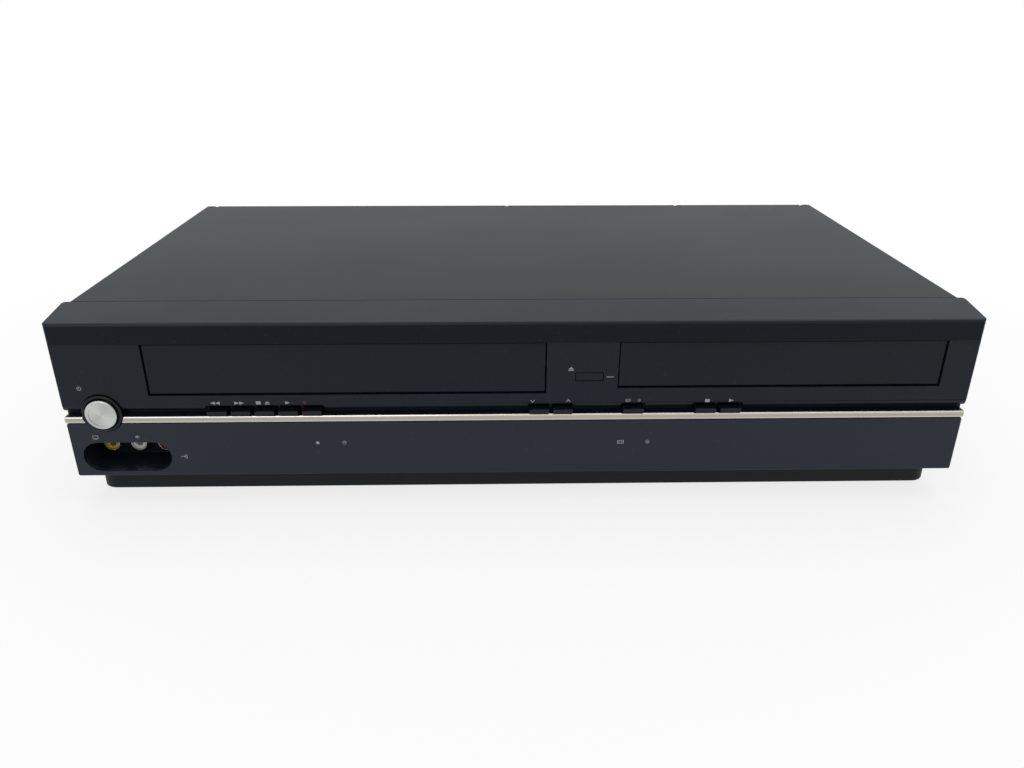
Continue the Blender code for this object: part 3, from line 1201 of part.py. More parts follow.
def deck_chassis():
    """The pressed deck plate with its flanges, reel posts, capstan sleeve and loading slots."""
    half = FRAME_HALF + FRAME_SHEET
    flange = DECK_Z - DECK_FLANGE
    inner = half - DECK_SHEET
    section = [(-half, flange), (-inner, flange), (-inner, DECK_Z), (inner, DECK_Z), (inner, flange),
               (half, flange), (half, DECK_TOP_Z), (-half, DECK_TOP_Z)]
    section = [(DOOR_X + x, z) for x, z in section]
    deck = prism("deck_chassis", section, DECK_Y, DECK_END_Y, "Y", "zinc_sheet")
    low, high = DECK_Z - OVERRUN, DECK_TOP_Z + OVERRUN
    for side in (-1, 1):
        start = Vector((DOOR_X + side * REEL_SPACING / 2, CAPSTAN_Y - 2 * REEL_RADIUS))
        end = Vector((DOOR_X + side * (DRUM_RADIUS + PINCH_RADIUS), DRUM_Y + DRUM_RADIUS / 2))
        along = (end - start).normalized() * PINCH_RADIUS / 2
        across = Vector((-along.y, along.x))
        slot = [start - along - across, end + along - across, end + along + across, start - along + across]
        cut(deck, prism("path", [tuple(point) for point in slot], low, high, "Z"))
        post = REEL_POST_RADIUS
        unite(deck, rod("post", post, DECK_Z + GAP, DECK_TOP_Z + REEL_HUB_RISE - GAP,
                        (DOOR_X + side * REEL_SPACING / 2, REEL_Y, 0), "Z"))
    cut(deck, rod("drum_seat", DRUM_RADIUS * DRUM_SEAT_SHARE, low, high, (DOOR_X, DRUM_Y, 0), "Z", ROUND))
    sleeve = rod("sleeve", CAPSTAN_SLEEVE, DECK_Z + GAP, DECK_TOP_Z + CAPSTAN_SLEEVE_RISE,
                 (CAPSTAN_X, CAPSTAN_Y, 0), "Z", SMALL)
    unite(deck, sleeve)
    cut(deck, rod("bearing", CAPSTAN_RADIUS + GAP, low, high + CAPSTAN_SLEEVE_RISE,
                  (CAPSTAN_X, CAPSTAN_Y, 0), "Z", SMALL))
    pivot = pinch_pivot()
    unite(deck, rod("pivot", REEL_POST_RADIUS, DECK_Z + GAP, pinch_arm_z() + PINCH_ARM_SHEET + GAP,
                    (pivot.x, pivot.y, 0), "Z"))
    return deck


def reel_table(name, side):
    """One reel table: a flange, a tapered hub with three drive splines and a bore for its post."""
    foot_z = DECK_TOP_Z + REEL_SEAT
    top = DECK_TOP_Z + REEL_HUB_RISE
    bore = REEL_POST_RADIUS + GAP
    shoulder = foot_z + REEL_FLANGE
    seat = DECK_TOP_Z + GAP
    profile = [(bore, seat), (2 * bore, seat), (2 * bore, foot_z), (REEL_RADIUS, foot_z),
               (REEL_RADIUS, shoulder), (REEL_HUB_RADIUS, shoulder),
               (REEL_HUB_RADIUS, top - REEL_FLANGE), (REEL_HUB_RADIUS / 2, top), (bore, top)]
    centre = (DOOR_X + side * REEL_SPACING / 2, REEL_Y, 0)
    table = turned(name, profile, centre, "Z", PLAIN, "white_nylon")
    for index in range(3):
        spline = block("spline", (REEL_HUB_RADIUS / 2, -REEL_SEAT / 2, shoulder - GAP),
                       (REEL_HUB_RADIUS + REEL_SEAT, REEL_SEAT / 2, top - REEL_FLANGE))
        turn = Matrix.Rotation(2 * math.pi * index / 3, 4, "Z")
        spline.data.transform(Matrix.Translation(centre) @ turn)
        unite(table, spline)
    return set_origin(smooth(table), (centre[0], centre[1], foot_z))


def drum_base_z():
    """The leaning drum is lifted until its low edge clears the deck."""
    return DECK_TOP_Z + GAP + DRUM_RADIUS * math.sin(DRUM_LEAN)


def lean(piece):
    """Stand a drum piece, made about the world's Z axis, at its place with the drum's lean."""
    piece.location = (DOOR_X, DRUM_Y, drum_base_z())
    piece.rotation_euler = (DRUM_LEAN, 0, 0)
    return smooth(piece)


def head_drum_lower():
    """The fixed lower drum with the ledge that guides the tape's edge."""
    ledge = DRUM_LOWER_HEIGHT / 3
    rise = DRUM_RADIUS / 40
    profile = [(0, 0), (DRUM_RADIUS, 0), (DRUM_RADIUS, ledge), (DRUM_RADIUS - rise, ledge + rise),
               (DRUM_RADIUS - rise, DRUM_LOWER_HEIGHT), (0, DRUM_LOWER_HEIGHT)]
    return lean(turned("head_drum_lower", profile, (0, 0, 0), "Z", FINE, "aluminium"))


def head_drum_upper():
    """The spinning upper drum with a dished top and a hub."""
    start = DRUM_LOWER_HEIGHT + DRUM_SPLIT
    top = start + DRUM_UPPER_HEIGHT
    radius = DRUM_RADIUS - DRUM_RADIUS / 40
    dish = DRUM_UPPER_HEIGHT / 5
    rim, floor_rim, floor_hub, hub = [radius * share for share in DRUM_DISH_SHARES]
    profile = [(0, start), (radius, start), (radius, top), (rim, top), (floor_rim, top - dish),
               (floor_hub, top - dish), (hub, top + dish), (0, top + dish)]
    return lean(turned("head_drum_upper", profile, (0, 0, 0), "Z", FINE, "aluminium"))


def capstan():
    """The capstan shaft with its flywheel under the deck."""
    top = DECK_TOP_Z + CAPSTAN_RISE
    wheel_top = DECK_Z - RUNNING
    wheel_foot = wheel_top - FLYWHEEL_THICKNESS
    rim = FLYWHEEL_RADIUS * FLYWHEEL_RIM_SHARE
    dish = FLYWHEEL_THICKNESS * FLYWHEEL_DISH_SHARE
    profile = [(0, wheel_foot + dish), (rim, wheel_foot + dish), (rim, wheel_foot),
               (FLYWHEEL_RADIUS, wheel_foot), (FLYWHEEL_RADIUS, wheel_top), (CAPSTAN_RADIUS, wheel_top),
               (CAPSTAN_RADIUS, top), (0, top)]
    piece = turned("capstan_flywheel", profile, (CAPSTAN_X, CAPSTAN_Y, 0), "Z", PLAIN, "steel")
    return set_origin(smooth(piece), (CAPSTAN_X, CAPSTAN_Y, wheel_top))


def pinch_pivot():
    """The pinch arm's pivot, beyond the capstan on the side away from the drum."""
    x_share, y_share = PINCH_PIVOT_SHARES
    return Vector((CAPSTAN_X + PINCH_ARM_LENGTH * x_share, CAPSTAN_Y + PINCH_ARM_LENGTH * y_share))


def pinch_arm_z():
    """The arm lies above the capstan's sleeve."""
    return DECK_TOP_Z + CAPSTAN_SLEEVE_RISE + GAP


def pinch_roller_centre():
    """Where the retracted roller stands: behind the capstan, on the drum's side of the tape."""
    pivot = pinch_pivot()
    away = PINCH_RADIUS + CAPSTAN_RADIUS + PINCH_OPEN_GAP
    span = PINCH_ARM_LENGTH
    to_capstan = Vector((CAPSTAN_X, CAPSTAN_Y)) - pivot
    distance = to_capstan.length
    cosine = (span ** 2 + distance ** 2 - away ** 2) / (2 * span * distance)
    angle = math.atan2(to_capstan.y, to_capstan.x) - math.acos(cosine)
    return pivot + Vector((math.cos(angle), math.sin(angle))) * span


def pinch_arm():
    """The arm that swings the pinch roller against the capstan."""
    pivot, tip = pinch_pivot(), pinch_roller_centre()
    half = PINCH_ARM_WIDTH / 2
    heading = math.degrees(math.atan2(tip.y - pivot.y, tip.x - pivot.x))
    outline = arc(pivot, half, heading + 90, heading + 270, 8) + arc(tip, half, heading - 90, heading + 90, 8)
    foot_z, top = pinch_arm_z(), pinch_arm_z() + PINCH_ARM_SHEET
    arm = prism("pinch_arm", outline, foot_z, top, "Z", "zinc_sheet")
    cut(arm, rod("bore", REEL_POST_RADIUS + GAP, foot_z - OVERRUN, top + OVERRUN, (pivot.x, pivot.y, 0), "Z"))
    unite(arm, rod("axle", REEL_POST_RADIUS, top - GAP, top + PINCH_HEIGHT + GAP, (tip.x, tip.y, 0), "Z"))
    return set_origin(arm, (pivot.x, pivot.y, foot_z))


def pinch_roller():
    """The rubber roller on the arm's axle."""
    tip = pinch_roller_centre()
    foot_z = pinch_arm_z() + PINCH_ARM_SHEET + GAP
    top = foot_z + PINCH_HEIGHT
    bore = REEL_POST_RADIUS + GAP
    profile = [(bore, foot_z), (PINCH_RADIUS, foot_z), (PINCH_RADIUS, top), (bore, top)]
    piece = turned("pinch_roller", profile, (tip.x, tip.y, 0), "Z", SMALL, "rubber")
    return set_origin(smooth(piece), (tip.x, tip.y, foot_z))


# Disc loader

def gear_outline(centre):
    """Involute-sided gear teeth about a centre, with clearance at tip, root and flank."""
    base = GEAR_PITCH_RADIUS * math.cos(PRESSURE_ANGLE)
    tip = GEAR_PITCH_RADIUS + GEAR_MODULE * ADDENDUM_SHARE
    root = GEAR_PITCH_RADIUS - GEAR_MODULE * DEDENDUM_SHARE
    roll = math.tan(PRESSURE_ANGLE) - PRESSURE_ANGLE
    half = math.pi / (2 * GEAR_TEETH) - GEAR_BACKLASH / GEAR_PITCH_RADIUS
    points = []
    for tooth in range(GEAR_TEETH):
        middle = 2 * math.pi * tooth / GEAR_TEETH
        flank = []
        for radius in (base, (base + tip) / 2, tip):
            pressure = math.acos(base / radius)
            flank.append((radius, half + roll - (math.tan(pressure) - pressure)))
        low = flank[0][1]
        left = [(root, low)] + flank
        points += [(radius, middle - offset) for radius, offset in left]
        points += [(radius, middle + offset) for radius, offset in reversed(left)]
    return [(centre[0] + r * math.cos(a), centre[1] + r * math.sin(a)) for r, a in points]


def rack_teeth():
    """The toothed side of the rack, in mesh with the gear, as (x, y) points with straight flanks."""
    pitch = math.pi * GEAR_MODULE
    line = GEAR_X + GEAR_PITCH_RADIUS
    slope = math.tan(PRESSURE_ANGLE)
    tip = line - GEAR_MODULE * ADDENDUM_SHARE
    root = line + GEAR_MODULE * DEDENDUM_SHARE
    first = GEAR_Y + pitch * (0.5 - math.floor((GEAR_Y - TRAY_START_Y - RACK_BACK) / pitch))
    last = GEAR_Y + TRAY_TRAVEL + pitch / 2
    points = []
    for index in range(round((last - first) / pitch) + 1):
        middle = first + pitch * index
        half = pitch / 4 - GEAR_BACKLASH
        wide = half + (root - line) * slope
        thin = half - (line - tip) * slope
        points += [(root, middle - wide), (tip, middle - thin), (tip, middle + thin), (root, middle + wide)]
    return points


def tray_rack():
    """The rack under the tray's right side."""
    points = rack_teeth()
    back = points[0][0] + RACK_BACK
    outline = points + [(back, points[-1][1]), (back, points[0][1])]
    return prism("rack", outline, TRAY_Z - GEAR_WIDTH, TRAY_Z + GAP, "Z")


def disc_tray():
    """The sliding tray: rim, two stepped disc pockets, an open slot to the rear and a rack below."""
    start, end = TRAY_START_Y, TRAY_END_Y
    corner = TRAY_THICKNESS
    slot = ([(TRAY_X + SLOT_HALF, end)] + arc((TRAY_X, DISC_Y), SLOT_HALF, 360, 180, 13)
            + [(TRAY_X - SLOT_HALF, end)])
    outline = ([(TRAY_X - TRAY_HALF, start), (TRAY_X + TRAY_HALF, start)]
               + arc((TRAY_X + TRAY_HALF - corner, end - corner), corner, 0, 90, 3) + slot
               + arc((TRAY_X - TRAY_HALF + corner, end - corner), corner, 90, 180, 3))
    tray = prism("disc_tray", outline, TRAY_Z, TRAY_TOP_Z, "Z")
    centre = (TRAY_X, DISC_Y, 0)
    small_floor = DISC_FLOOR_Z - SMALL_DISC_POCKET
    lid = TRAY_TOP_Z + OVERRUN
    notch = DISC_RADIUS / 14
    for side in (-1, 1):
        place = (TRAY_X + side * DISC_RADIUS, DISC_Y, 0)
        cut(tray, rod("finger", notch, small_floor, lid, place, "Z", SMALL))
    profile = [(0, small_floor), (SMALL_DISC_RADIUS, small_floor), (SMALL_DISC_RADIUS, DISC_FLOOR_Z),
               (DISC_RADIUS, DISC_FLOOR_Z), (DISC_RADIUS, lid), (0, lid)]
    cut(tray, turned("pockets", profile, centre, "Z", FINE))
    unite(tray, tray_rack())
    return set_origin(tray, (TRAY_X, start, TRAY_Z))


def tray_front():
    """The tray's front, a shallow moulded pan with two clips to the tray."""
    left, right = TRAY_LEFT + REVEAL, TRAY_RIGHT - REVEAL
    foot_z, top = TRAY_FRONT_FOOT_Z + REVEAL, BROW_FOOT_Z - REVEAL
    face = FACE_Y + DOOR_INSET
    back = face + TRAY_FRONT_THICKNESS
    bevel = KEY_BEVEL
    outline = [(face + bevel, foot_z), (back, foot_z), (back, top), (face + bevel, top),
               (face, top - bevel), (face, foot_z + bevel)]
    front = prism("tray_front", outline, left, right, "X")
    shell = TRAY_FRONT_SHELL
    cut(front, block("pan", (left + shell, face + shell, foot_z + shell),
                     (right - shell, back + OVERRUN, TRAY_Z - shell)))
    cut(front, block("pan", (left + shell, face + shell, TRAY_TOP_Z + shell),
                     (right - shell, back + OVERRUN, top - shell)))
    return set_origin(front, (TRAY_X, face, (foot_z + top) / 2))


def loader_frame():
    """The loader's open frame: floor, side walls, tray rails, a motor seat and the traverse window."""
    foot_z = LOADER_FLOOR_Z
    start, end = LOADER_Y, LOADER_END_Y
    wall_top = TRAY_TOP_Z + RUNNING
    inner = LOADER_HALF - LOADER_WALL
    floor_top = foot_z + LOADER_WALL
    rail_top = TRAY_Z - RUNNING
    rail = inner - RACK_BACK
    section = [(-LOADER_HALF, foot_z), (LOADER_HALF, foot_z), (LOADER_HALF, wall_top), (inner, wall_top),
               (inner, rail_top), (rail, rail_top), (rail, floor_top), (-rail, floor_top),
               (-rail, rail_top), (-inner, rail_top), (-inner, wall_top), (-LOADER_HALF, wall_top)]
    section = [(TRAY_X + x, z) for x, z in section]
    frame = prism("loader_frame", section, start, end, "Y")
    low, high = foot_z - OVERRUN, floor_top + OVERRUN
    window_front = traverse_front_y() - LOADER_WALL
    window_rear = traverse_rear_y() + LOADER_WALL
    half = TRAVERSE_HALF + LOADER_WALL
    cut(frame, block("window", (TRAY_X - half, window_front, low), (TRAY_X + half, window_rear, high)))
    motor_x = GEAR_X - PULLEY_SPACING
    cut(frame, rod("motor_hole", MOTOR_PULLEY_RADIUS + RUNNING, low, high, (motor_x, GEAR_Y, 0), "Z", SMALL))
    unite(frame, rod("gear_post", REEL_POST_RADIUS, floor_top - GAP, rail_top, (GEAR_X, GEAR_Y, 0), "Z"))
    for side in (-1, 1):
        ends = sorted((TRAY_X + side * (TRAVERSE_HALF + RUNNING), TRAY_X + side * (half + LOADER_WALL)))
        lug = block("lug", (ends[0], traverse_pivot_y() - LUG_SIZE / 2, floor_top - LOADER_WALL / 2),
                    (ends[1], traverse_pivot_y() + LUG_SIZE / 2, traverse_z() + TRAVERSE_THICKNESS + BOARD))
        unite(frame, lug)
        cut(frame, rod("bore", ROD_RADIUS + GAP, ends[0] - OVERRUN, ends[1] + OVERRUN,
                       (0, traverse_pivot_y(), traverse_pivot_z()), "X"))
    return frame


def traverse_front_y():
    """Front end of the traverse, clear of the loader's motor as it tilts."""
    return GEAR_Y + MOTOR_RADIUS + TRAVERSE_PLAY


def traverse_rear_y():
    """Rear end of the traverse."""
    return LOADER_END_Y - TRAVERSE_MARGIN


def traverse_pivot_y():
    """The traverse tilts about pins near its rear end."""
    return traverse_rear_y() - TRAVERSE_BAR / 2


def traverse_z():
    """Underside of the traverse plate at rest."""
    return LOADER_FLOOR_Z + LOADER_WALL + RUNNING


def traverse_pivot_z():
    """Height of the traverse's pins."""
    return traverse_z() + TRAVERSE_THICKNESS / 2


def traverse_frame():
    """The tilting plate that carries the spindle, the rods and the pickup."""
    low, high = traverse_z(), traverse_z() + TRAVERSE_THICKNESS
    front, rear = traverse_front_y(), traverse_rear_y()
    outline = rounded((TRAY_X - TRAVERSE_HALF, front), (TRAY_X + TRAVERSE_HALF, rear), BOARD, 2)
    plate = prism("traverse_frame", outline, low, high, "Z", "zinc_sheet")
    window_front = DISC_Y + ROTOR_RADIUS + RUNNING
    window_half = SCREW_X_OFFSET + SCREW_RADIUS + BOARD
    cut(plate, block("window", (TRAY_X - window_half, window_front, low - OVERRUN),
                     (TRAY_X + window_half, rear - TRAVERSE_BAR, high + OVERRUN)))
    top = rod_z() - ROD_RADIUS - GAP
    bar_half = window_half
    for start in (window_front - TRAVERSE_BAR / 2, rear - TRAVERSE_BAR):
        unite(plate, block("saddle_left", (TRAY_X - bar_half, start, high - GAP),
                           (TRAY_X - SPINDLE_RADIUS - BOARD, start + TRAVERSE_BAR / 2, top)))
        unite(plate, block("saddle_right", (TRAY_X + SPINDLE_RADIUS + BOARD, start, high - GAP),
                           (TRAY_X + bar_half, start + TRAVERSE_BAR / 2, top)))
    bore = rod("spindle_bore", CAPSTAN_RADIUS + GAP, low - OVERRUN, high + OVERRUN, (TRAY_X, DISC_Y, 0), "Z")
    cut(plate, bore)
    pivot = (0, traverse_pivot_y(), traverse_pivot_z())
    for side in (-1, 1):
        reach = sorted((TRAY_X + side * (TRAVERSE_HALF - BOARD), TRAY_X + side * (TRAVERSE_HALF + LOADER_WALL)))
        unite(plate, rod("pin", ROD_RADIUS, reach[0], reach[1], pivot, "X"))
    return set_origin(plate, (TRAY_X, traverse_pivot_y(), traverse_pivot_z()))


def rod_z():
    """Height of the pickup's guide rods."""
    return traverse_z() + TRAVERSE_THICKNESS + ROD_RADIUS + 3 * GAP


def turntable():
    """The spinning disc seat: rotor, platter, tapered hub and a short shaft."""
    shaft_foot = traverse_z() + GAP
    rotor_foot = PLATTER_TOP_Z - BOARD - ROTOR_HEIGHT
    platter_foot = PLATTER_TOP_Z - BOARD
    hub_top = PLATTER_TOP_Z + HUB_HEIGHT
    profile = [(0, shaft_foot), (CAPSTAN_RADIUS, shaft_foot), (CAPSTAN_RADIUS, rotor_foot),
               (ROTOR_RADIUS, rotor_foot), (ROTOR_RADIUS, platter_foot), (SPINDLE_RADIUS, platter_foot),
               (SPINDLE_RADIUS, PLATTER_TOP_Z), (HUB_RADIUS, PLATTER_TOP_Z),
               (HUB_RADIUS * HUB_TAPER_SHARE, hub_top), (0, hub_top)]
    piece = turned("disc_turntable", profile, (TRAY_X, DISC_Y, 0), "Z", PLAIN, "dark_grey")
    return set_origin(smooth(piece), (TRAY_X, DISC_Y, PLATTER_TOP_Z))


def pickup_front_y():
    """Front end of the pickup at its innermost place."""
    return DISC_Y + PICKUP_START


def optical_pickup():
    """The laser carriage with two bored ears on the rods, a lens and a nut finger at the screw."""
    front, rear = pickup_front_y(), pickup_front_y() + PICKUP_LENGTH
    mid = rod_z()
    half = ROD_HALF - 2 * ROD_RADIUS - BOARD
    body = block("optical_pickup", (TRAY_X - half, front, mid - PICKUP_HEIGHT / 2),
                 (TRAY_X + half, rear, mid + PICKUP_HEIGHT / 2), "dark_grey")
    ear = 2 * ROD_RADIUS
    for side in (-1, 1):
        x = TRAY_X + side * ROD_HALF
        inner = sorted((TRAY_X + side * (half - BOARD), x + side * ear))
        length = PICKUP_LENGTH if side > 0 else PICKUP_LENGTH / 3
        unite(body, block("ear", (inner[0], front, mid - ear), (inner[1], front + length, mid + ear)))
        cut(body, rod("bore", ROD_RADIUS + GAP, front - OVERRUN, rear + OVERRUN, (x, 0, mid), "Y"))
    finger_end = TRAY_X + SCREW_X_OFFSET - SCREW_RADIUS - GAP
    finger_start = TRAY_X + ROD_HALF + ear - GAP
    third = PICKUP_LENGTH / 3
    unite(body, block("finger", (finger_start, front + third, mid - ROD_RADIUS / 2),
                      (finger_end, front + 2 * third, mid + ROD_RADIUS / 2)))
    unite(body, rod("lens", LENS_RADIUS, mid, mid + PICKUP_HEIGHT / 2 + BOARD / 2,
                    (TRAY_X, front + PICKUP_LENGTH / 3, 0), "Z", SMALL))
    return set_origin(body, (TRAY_X, front, mid))


def guide_rod(name, side):
    """One of the two steel rods that the pickup slides on."""
    start = DISC_Y + ROTOR_RADIUS + RUNNING - TRAVERSE_BAR / 2
    end = traverse_rear_y() - TRAVERSE_BAR / 2
    centre = (TRAY_X + side * ROD_HALF, 0, rod_z())
    return smooth(rod(name, ROD_RADIUS, start, end, centre, "Y", TINY, "steel"))


def lead_screw():
    """The screw that draws the pickup along."""
    window = DISC_Y + ROTOR_RADIUS + RUNNING
    start = window - TRAVERSE_BAR / 2
    end = traverse_rear_y() - TRAVERSE_BAR / 2
    x = TRAY_X + SCREW_X_OFFSET
    profile = [(0, start), (SCREW_RADIUS, start), (SCREW_RADIUS, end), (0, end)]
    piece = turned("pickup_lead_screw", profile, (x, 0, rod_z()), "Y", TINY, "steel")
    collar = rod("collar", 2 * SCREW_RADIUS, window + BOARD, window + 2 * BOARD, (x, 0, rod_z()), "Y", SMALL)
    return set_origin(smooth(unite(piece, collar)), (x, start, rod_z()))


def clamp_bridge():
    """The pressed bridge over the tray with the hole that the clamp hangs in."""
    foot_z = TRAY_TOP_Z + 2 * RUNNING
    sheet_z = clamp_sheet_z()
    top = sheet_z + CLAMP_SHEET
    inner = LOADER_HALF - LOADER_WALL
    section = [(-LOADER_HALF, foot_z), (-inner, foot_z), (-inner, sheet_z), (inner, sheet_z), (inner, foot_z),
               (LOADER_HALF, foot_z), (LOADER_HALF, top), (-LOADER_HALF, top)]
    section = [(TRAY_X + x, z) for x, z in section]
    half = CLAMP_LENGTH / 2
    bridge_sheet = prism("clamp_bridge", section, DISC_Y - half, DISC_Y + half, "Y", "zinc_sheet")
    hole = rod("hole", CLAMP_HOLE, sheet_z - OVERRUN, top + OVERRUN, (TRAY_X, DISC_Y, 0), "Z", PLAIN)
    return cut(bridge_sheet, hole)


def clamp_sheet_z():
    """Underside of the bridge's sheet, clear of the clamp's lower plate."""
    return PLATTER_TOP_Z + HUB_HEIGHT + RUNNING + 2 * BOARD + RUNNING


def clamp_puck():
    """The magnetic clamp: a spool whose upper rim rests on the bridge."""
    foot_z = PLATTER_TOP_Z + HUB_HEIGHT + RUNNING
    waist = clamp_sheet_z() - GAP
    rim = clamp_sheet_z() + CLAMP_SHEET + GAP
    neck = CLAMP_HOLE - RUNNING
    profile = [(0, foot_z), (PUCK_RADIUS, foot_z), (PUCK_RADIUS, foot_z + BOARD), (neck, foot_z + BOARD),
               (neck, waist), (neck, rim), (PUCK_RADIUS, rim), (PUCK_RADIUS, rim + BOARD / 2),
               (neck / 2, rim + BOARD), (0, rim + BOARD)]
    piece = turned("clamp_puck", profile, (TRAY_X, DISC_Y, 0), "Z", PLAIN, "dark_grey")
    return set_origin(smooth(piece), (TRAY_X, DISC_Y, rim))


def drive_gear():
    """The gear that drives the rack, with its belt pulley below."""
    centre = (GEAR_X, GEAR_Y)
    top = TRAY_Z - RUNNING
    foot_z = TRAY_Z - GEAR_WIDTH
    gear = prism("tray_drive_gear", gear_outline(centre), foot_z, top, "Z", "white_nylon")
    pulley_foot = LOADER_FLOOR_Z + LOADER_WALL + GAP
    pulley_top = foot_z - RUNNING
    hub = GEAR_PITCH_RADIUS / 2
    groove = (PULLEY_RADIUS - BELT, (pulley_foot + pulley_top) / 2)
    profile = [(0, pulley_foot), (PULLEY_RADIUS, pulley_foot), groove, (PULLEY_RADIUS, pulley_top),
               (hub, pulley_top), (hub, foot_z + GAP), (0, foot_z + GAP)]
    unite(gear, turned("pulley", profile, (*centre, 0), "Z", PLAIN))
    cut(gear, rod("bore", REEL_POST_RADIUS + GAP, pulley_foot - OVERRUN, top + OVERRUN, (*centre, 0), "Z"))
    return set_origin(gear, (*centre, pulley_foot))


def loader_motor():
    """The can motor under the loader's floor with its small pulley above."""
    centre = (GEAR_X - PULLEY_SPACING, GEAR_Y, 0)
    top = LOADER_FLOOR_Z - GAP
    shaft_top = LOADER_FLOOR_Z + LOADER_WALL + PULLEY_RADIUS / 3
    foot_z = top - MOTOR_LENGTH
    neck, neck_top = MOTOR_PULLEY_RADIUS / 2, top + LOADER_WALL + GAP
    profile = [(0, foot_z), (MOTOR_RADIUS - BELT, foot_z), (MOTOR_RADIUS, foot_z + BELT), (MOTOR_RADIUS, top),
               (neck, top), (neck, neck_top), (MOTOR_PULLEY_RADIUS, neck_top + GAP),
               (MOTOR_PULLEY_RADIUS, shaft_top), (0, shaft_top)]
    return smooth(turned("loader_motor", profile, centre, "Z", SMALL, "steel"))


def main():
    """Clear the scene and build every piece."""
    for old in list(bpy.data.objects):
        bpy.data.objects.remove(old)
    for name, (colour, roughness, metallic) in FINISHES.items():
        MATERIALS[name] = finish(name, colour, roughness, metallic)
    front_fascia()
    lower_panel()
    trim_strip("trim_strip_left", LEFT_SIDE + GAP, POWER_X)
    trim_strip("trim_strip_right", POWER_X, RIGHT_SIDE - GAP)
    power_ring()
    power_button()
    for name, x, width in key_places():
        small_key(name, x, width)
    open_close_key()
    front_board()
    status_display()
    jack_pocket()
    front_jack("front_video_jack", -1, "yellow_plastic")
    front_jack("front_audio_left_jack", 0, "white_plastic")
    front_jack("front_audio_right_jack", 1, "red_plastic")
    top_cover()
    base_chassis()
    for name, x, y in foot_places():
        foot(name, x, y)
    rear_panel()
    rear_av_jacks()
    rf_terminal()
    mains_gland()
    main_board()
    power_supply()
    cassette_door()
    cassette_holder()
    carriage_slider()
    carriage_housing()
    deck_chassis()
    reel_table("supply_reel_table", -1)
    reel_table("takeup_reel_table", 1)
    head_drum_lower()
    head_drum_upper()
    capstan()
    pinch_arm()
    pinch_roller()
    disc_tray()
    tray_front()
    loader_frame()
    traverse_frame()
    turntable()
    optical_pickup()
    guide_rod("pickup_rod_left", -1)
    guide_rod("pickup_rod_right", 1)
    lead_screw()
    clamp_bridge()
    clamp_puck()
    drive_gear()
    loader_motor()


main()
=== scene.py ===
"""Finishes and fine forms of a home recorder that takes discs and video cassettes.

The measured model gives every piece its size and place. This file rounds its edges, adds the small
pieces that only show, gives each surface its finish and sets the recorder on a studio floor.
Lengths are in metres; the recorder faces -Y and stands on the plane z = 0.
"""

import json
import math

import bmesh
import bpy
from bpy.props import FloatProperty, FloatVectorProperty, IntProperty, PointerProperty
from mathutils import Matrix, Vector


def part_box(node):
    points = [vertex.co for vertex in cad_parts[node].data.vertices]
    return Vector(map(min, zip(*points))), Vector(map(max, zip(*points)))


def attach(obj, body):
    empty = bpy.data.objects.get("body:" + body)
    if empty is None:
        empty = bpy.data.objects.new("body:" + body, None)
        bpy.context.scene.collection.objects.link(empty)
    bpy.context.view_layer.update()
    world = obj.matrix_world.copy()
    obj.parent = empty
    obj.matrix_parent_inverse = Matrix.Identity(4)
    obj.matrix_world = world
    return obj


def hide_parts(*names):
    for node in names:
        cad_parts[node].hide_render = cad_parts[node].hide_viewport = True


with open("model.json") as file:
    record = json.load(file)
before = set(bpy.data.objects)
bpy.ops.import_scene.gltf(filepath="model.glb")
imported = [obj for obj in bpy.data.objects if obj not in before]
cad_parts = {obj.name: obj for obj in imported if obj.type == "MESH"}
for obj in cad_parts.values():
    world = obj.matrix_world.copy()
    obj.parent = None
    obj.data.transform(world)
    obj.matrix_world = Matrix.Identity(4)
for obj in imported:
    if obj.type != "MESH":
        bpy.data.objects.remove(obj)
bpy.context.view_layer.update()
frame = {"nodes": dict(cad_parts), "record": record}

bl_info = {
    "name": "Disc and Cassette Recorder Looks",
    "version": (1, 0, 0),
    "blender": (4, 5, 0),
    "location": "View3D > Sidebar > Recorder",
    "description": "Builds the finishes, small fittings and studio of a disc and cassette recorder",
    "category": "Object",
}

BODY_OF = {node: body for body, nodes in frame["record"]["behaviour"]["bodies"].items() for node in nodes}
SLOT_OF = {part["node"]: part["material_slot"] for part in frame["record"]["subparts"]}
MERGE = 0.00001
NOTCH_SHARES = (-0.97, -0.012, 0.55, 0.97)
SHARP = math.radians(34)
TOOTH = math.radians(24)
SIDES = {"front": Matrix.Rotation(math.pi / 2, 4, "X"), "back": Matrix.Rotation(-math.pi / 2, 4, "X"),
         "top": Matrix.Identity(4), "under": Matrix.Rotation(math.pi, 4, "X"),
         "left": Matrix.Rotation(-math.pi / 2, 4, "Y"), "right": Matrix.Rotation(math.pi / 2, 4, "Y")}
FINISHES = {}
JACK_COLOURS = {"yellow": (0.58, 0.44, 0.03), "white": (0.76, 0.75, 0.71), "red": (0.34, 0.012, 0.014),
                "dark_red": (0.10, 0.008, 0.010), "green": (0.03, 0.30, 0.07), "blue": (0.03, 0.08, 0.42),
                "orange": (0.72, 0.20, 0.02)}
REAR_SOCKETS = (("green", "blue", "red", "yellow", "white", "red"),
                ("orange", "white", "red", "yellow", "white", "red"))
AERIAL_RADIUS = 0.0047
ROD_RADIUS = 0.0015
SCREW_PITCH = 0.0030
LENS_RADIUS = 0.0021
LENS_SINK = 0.0001
HUB_RISE = 0.0026
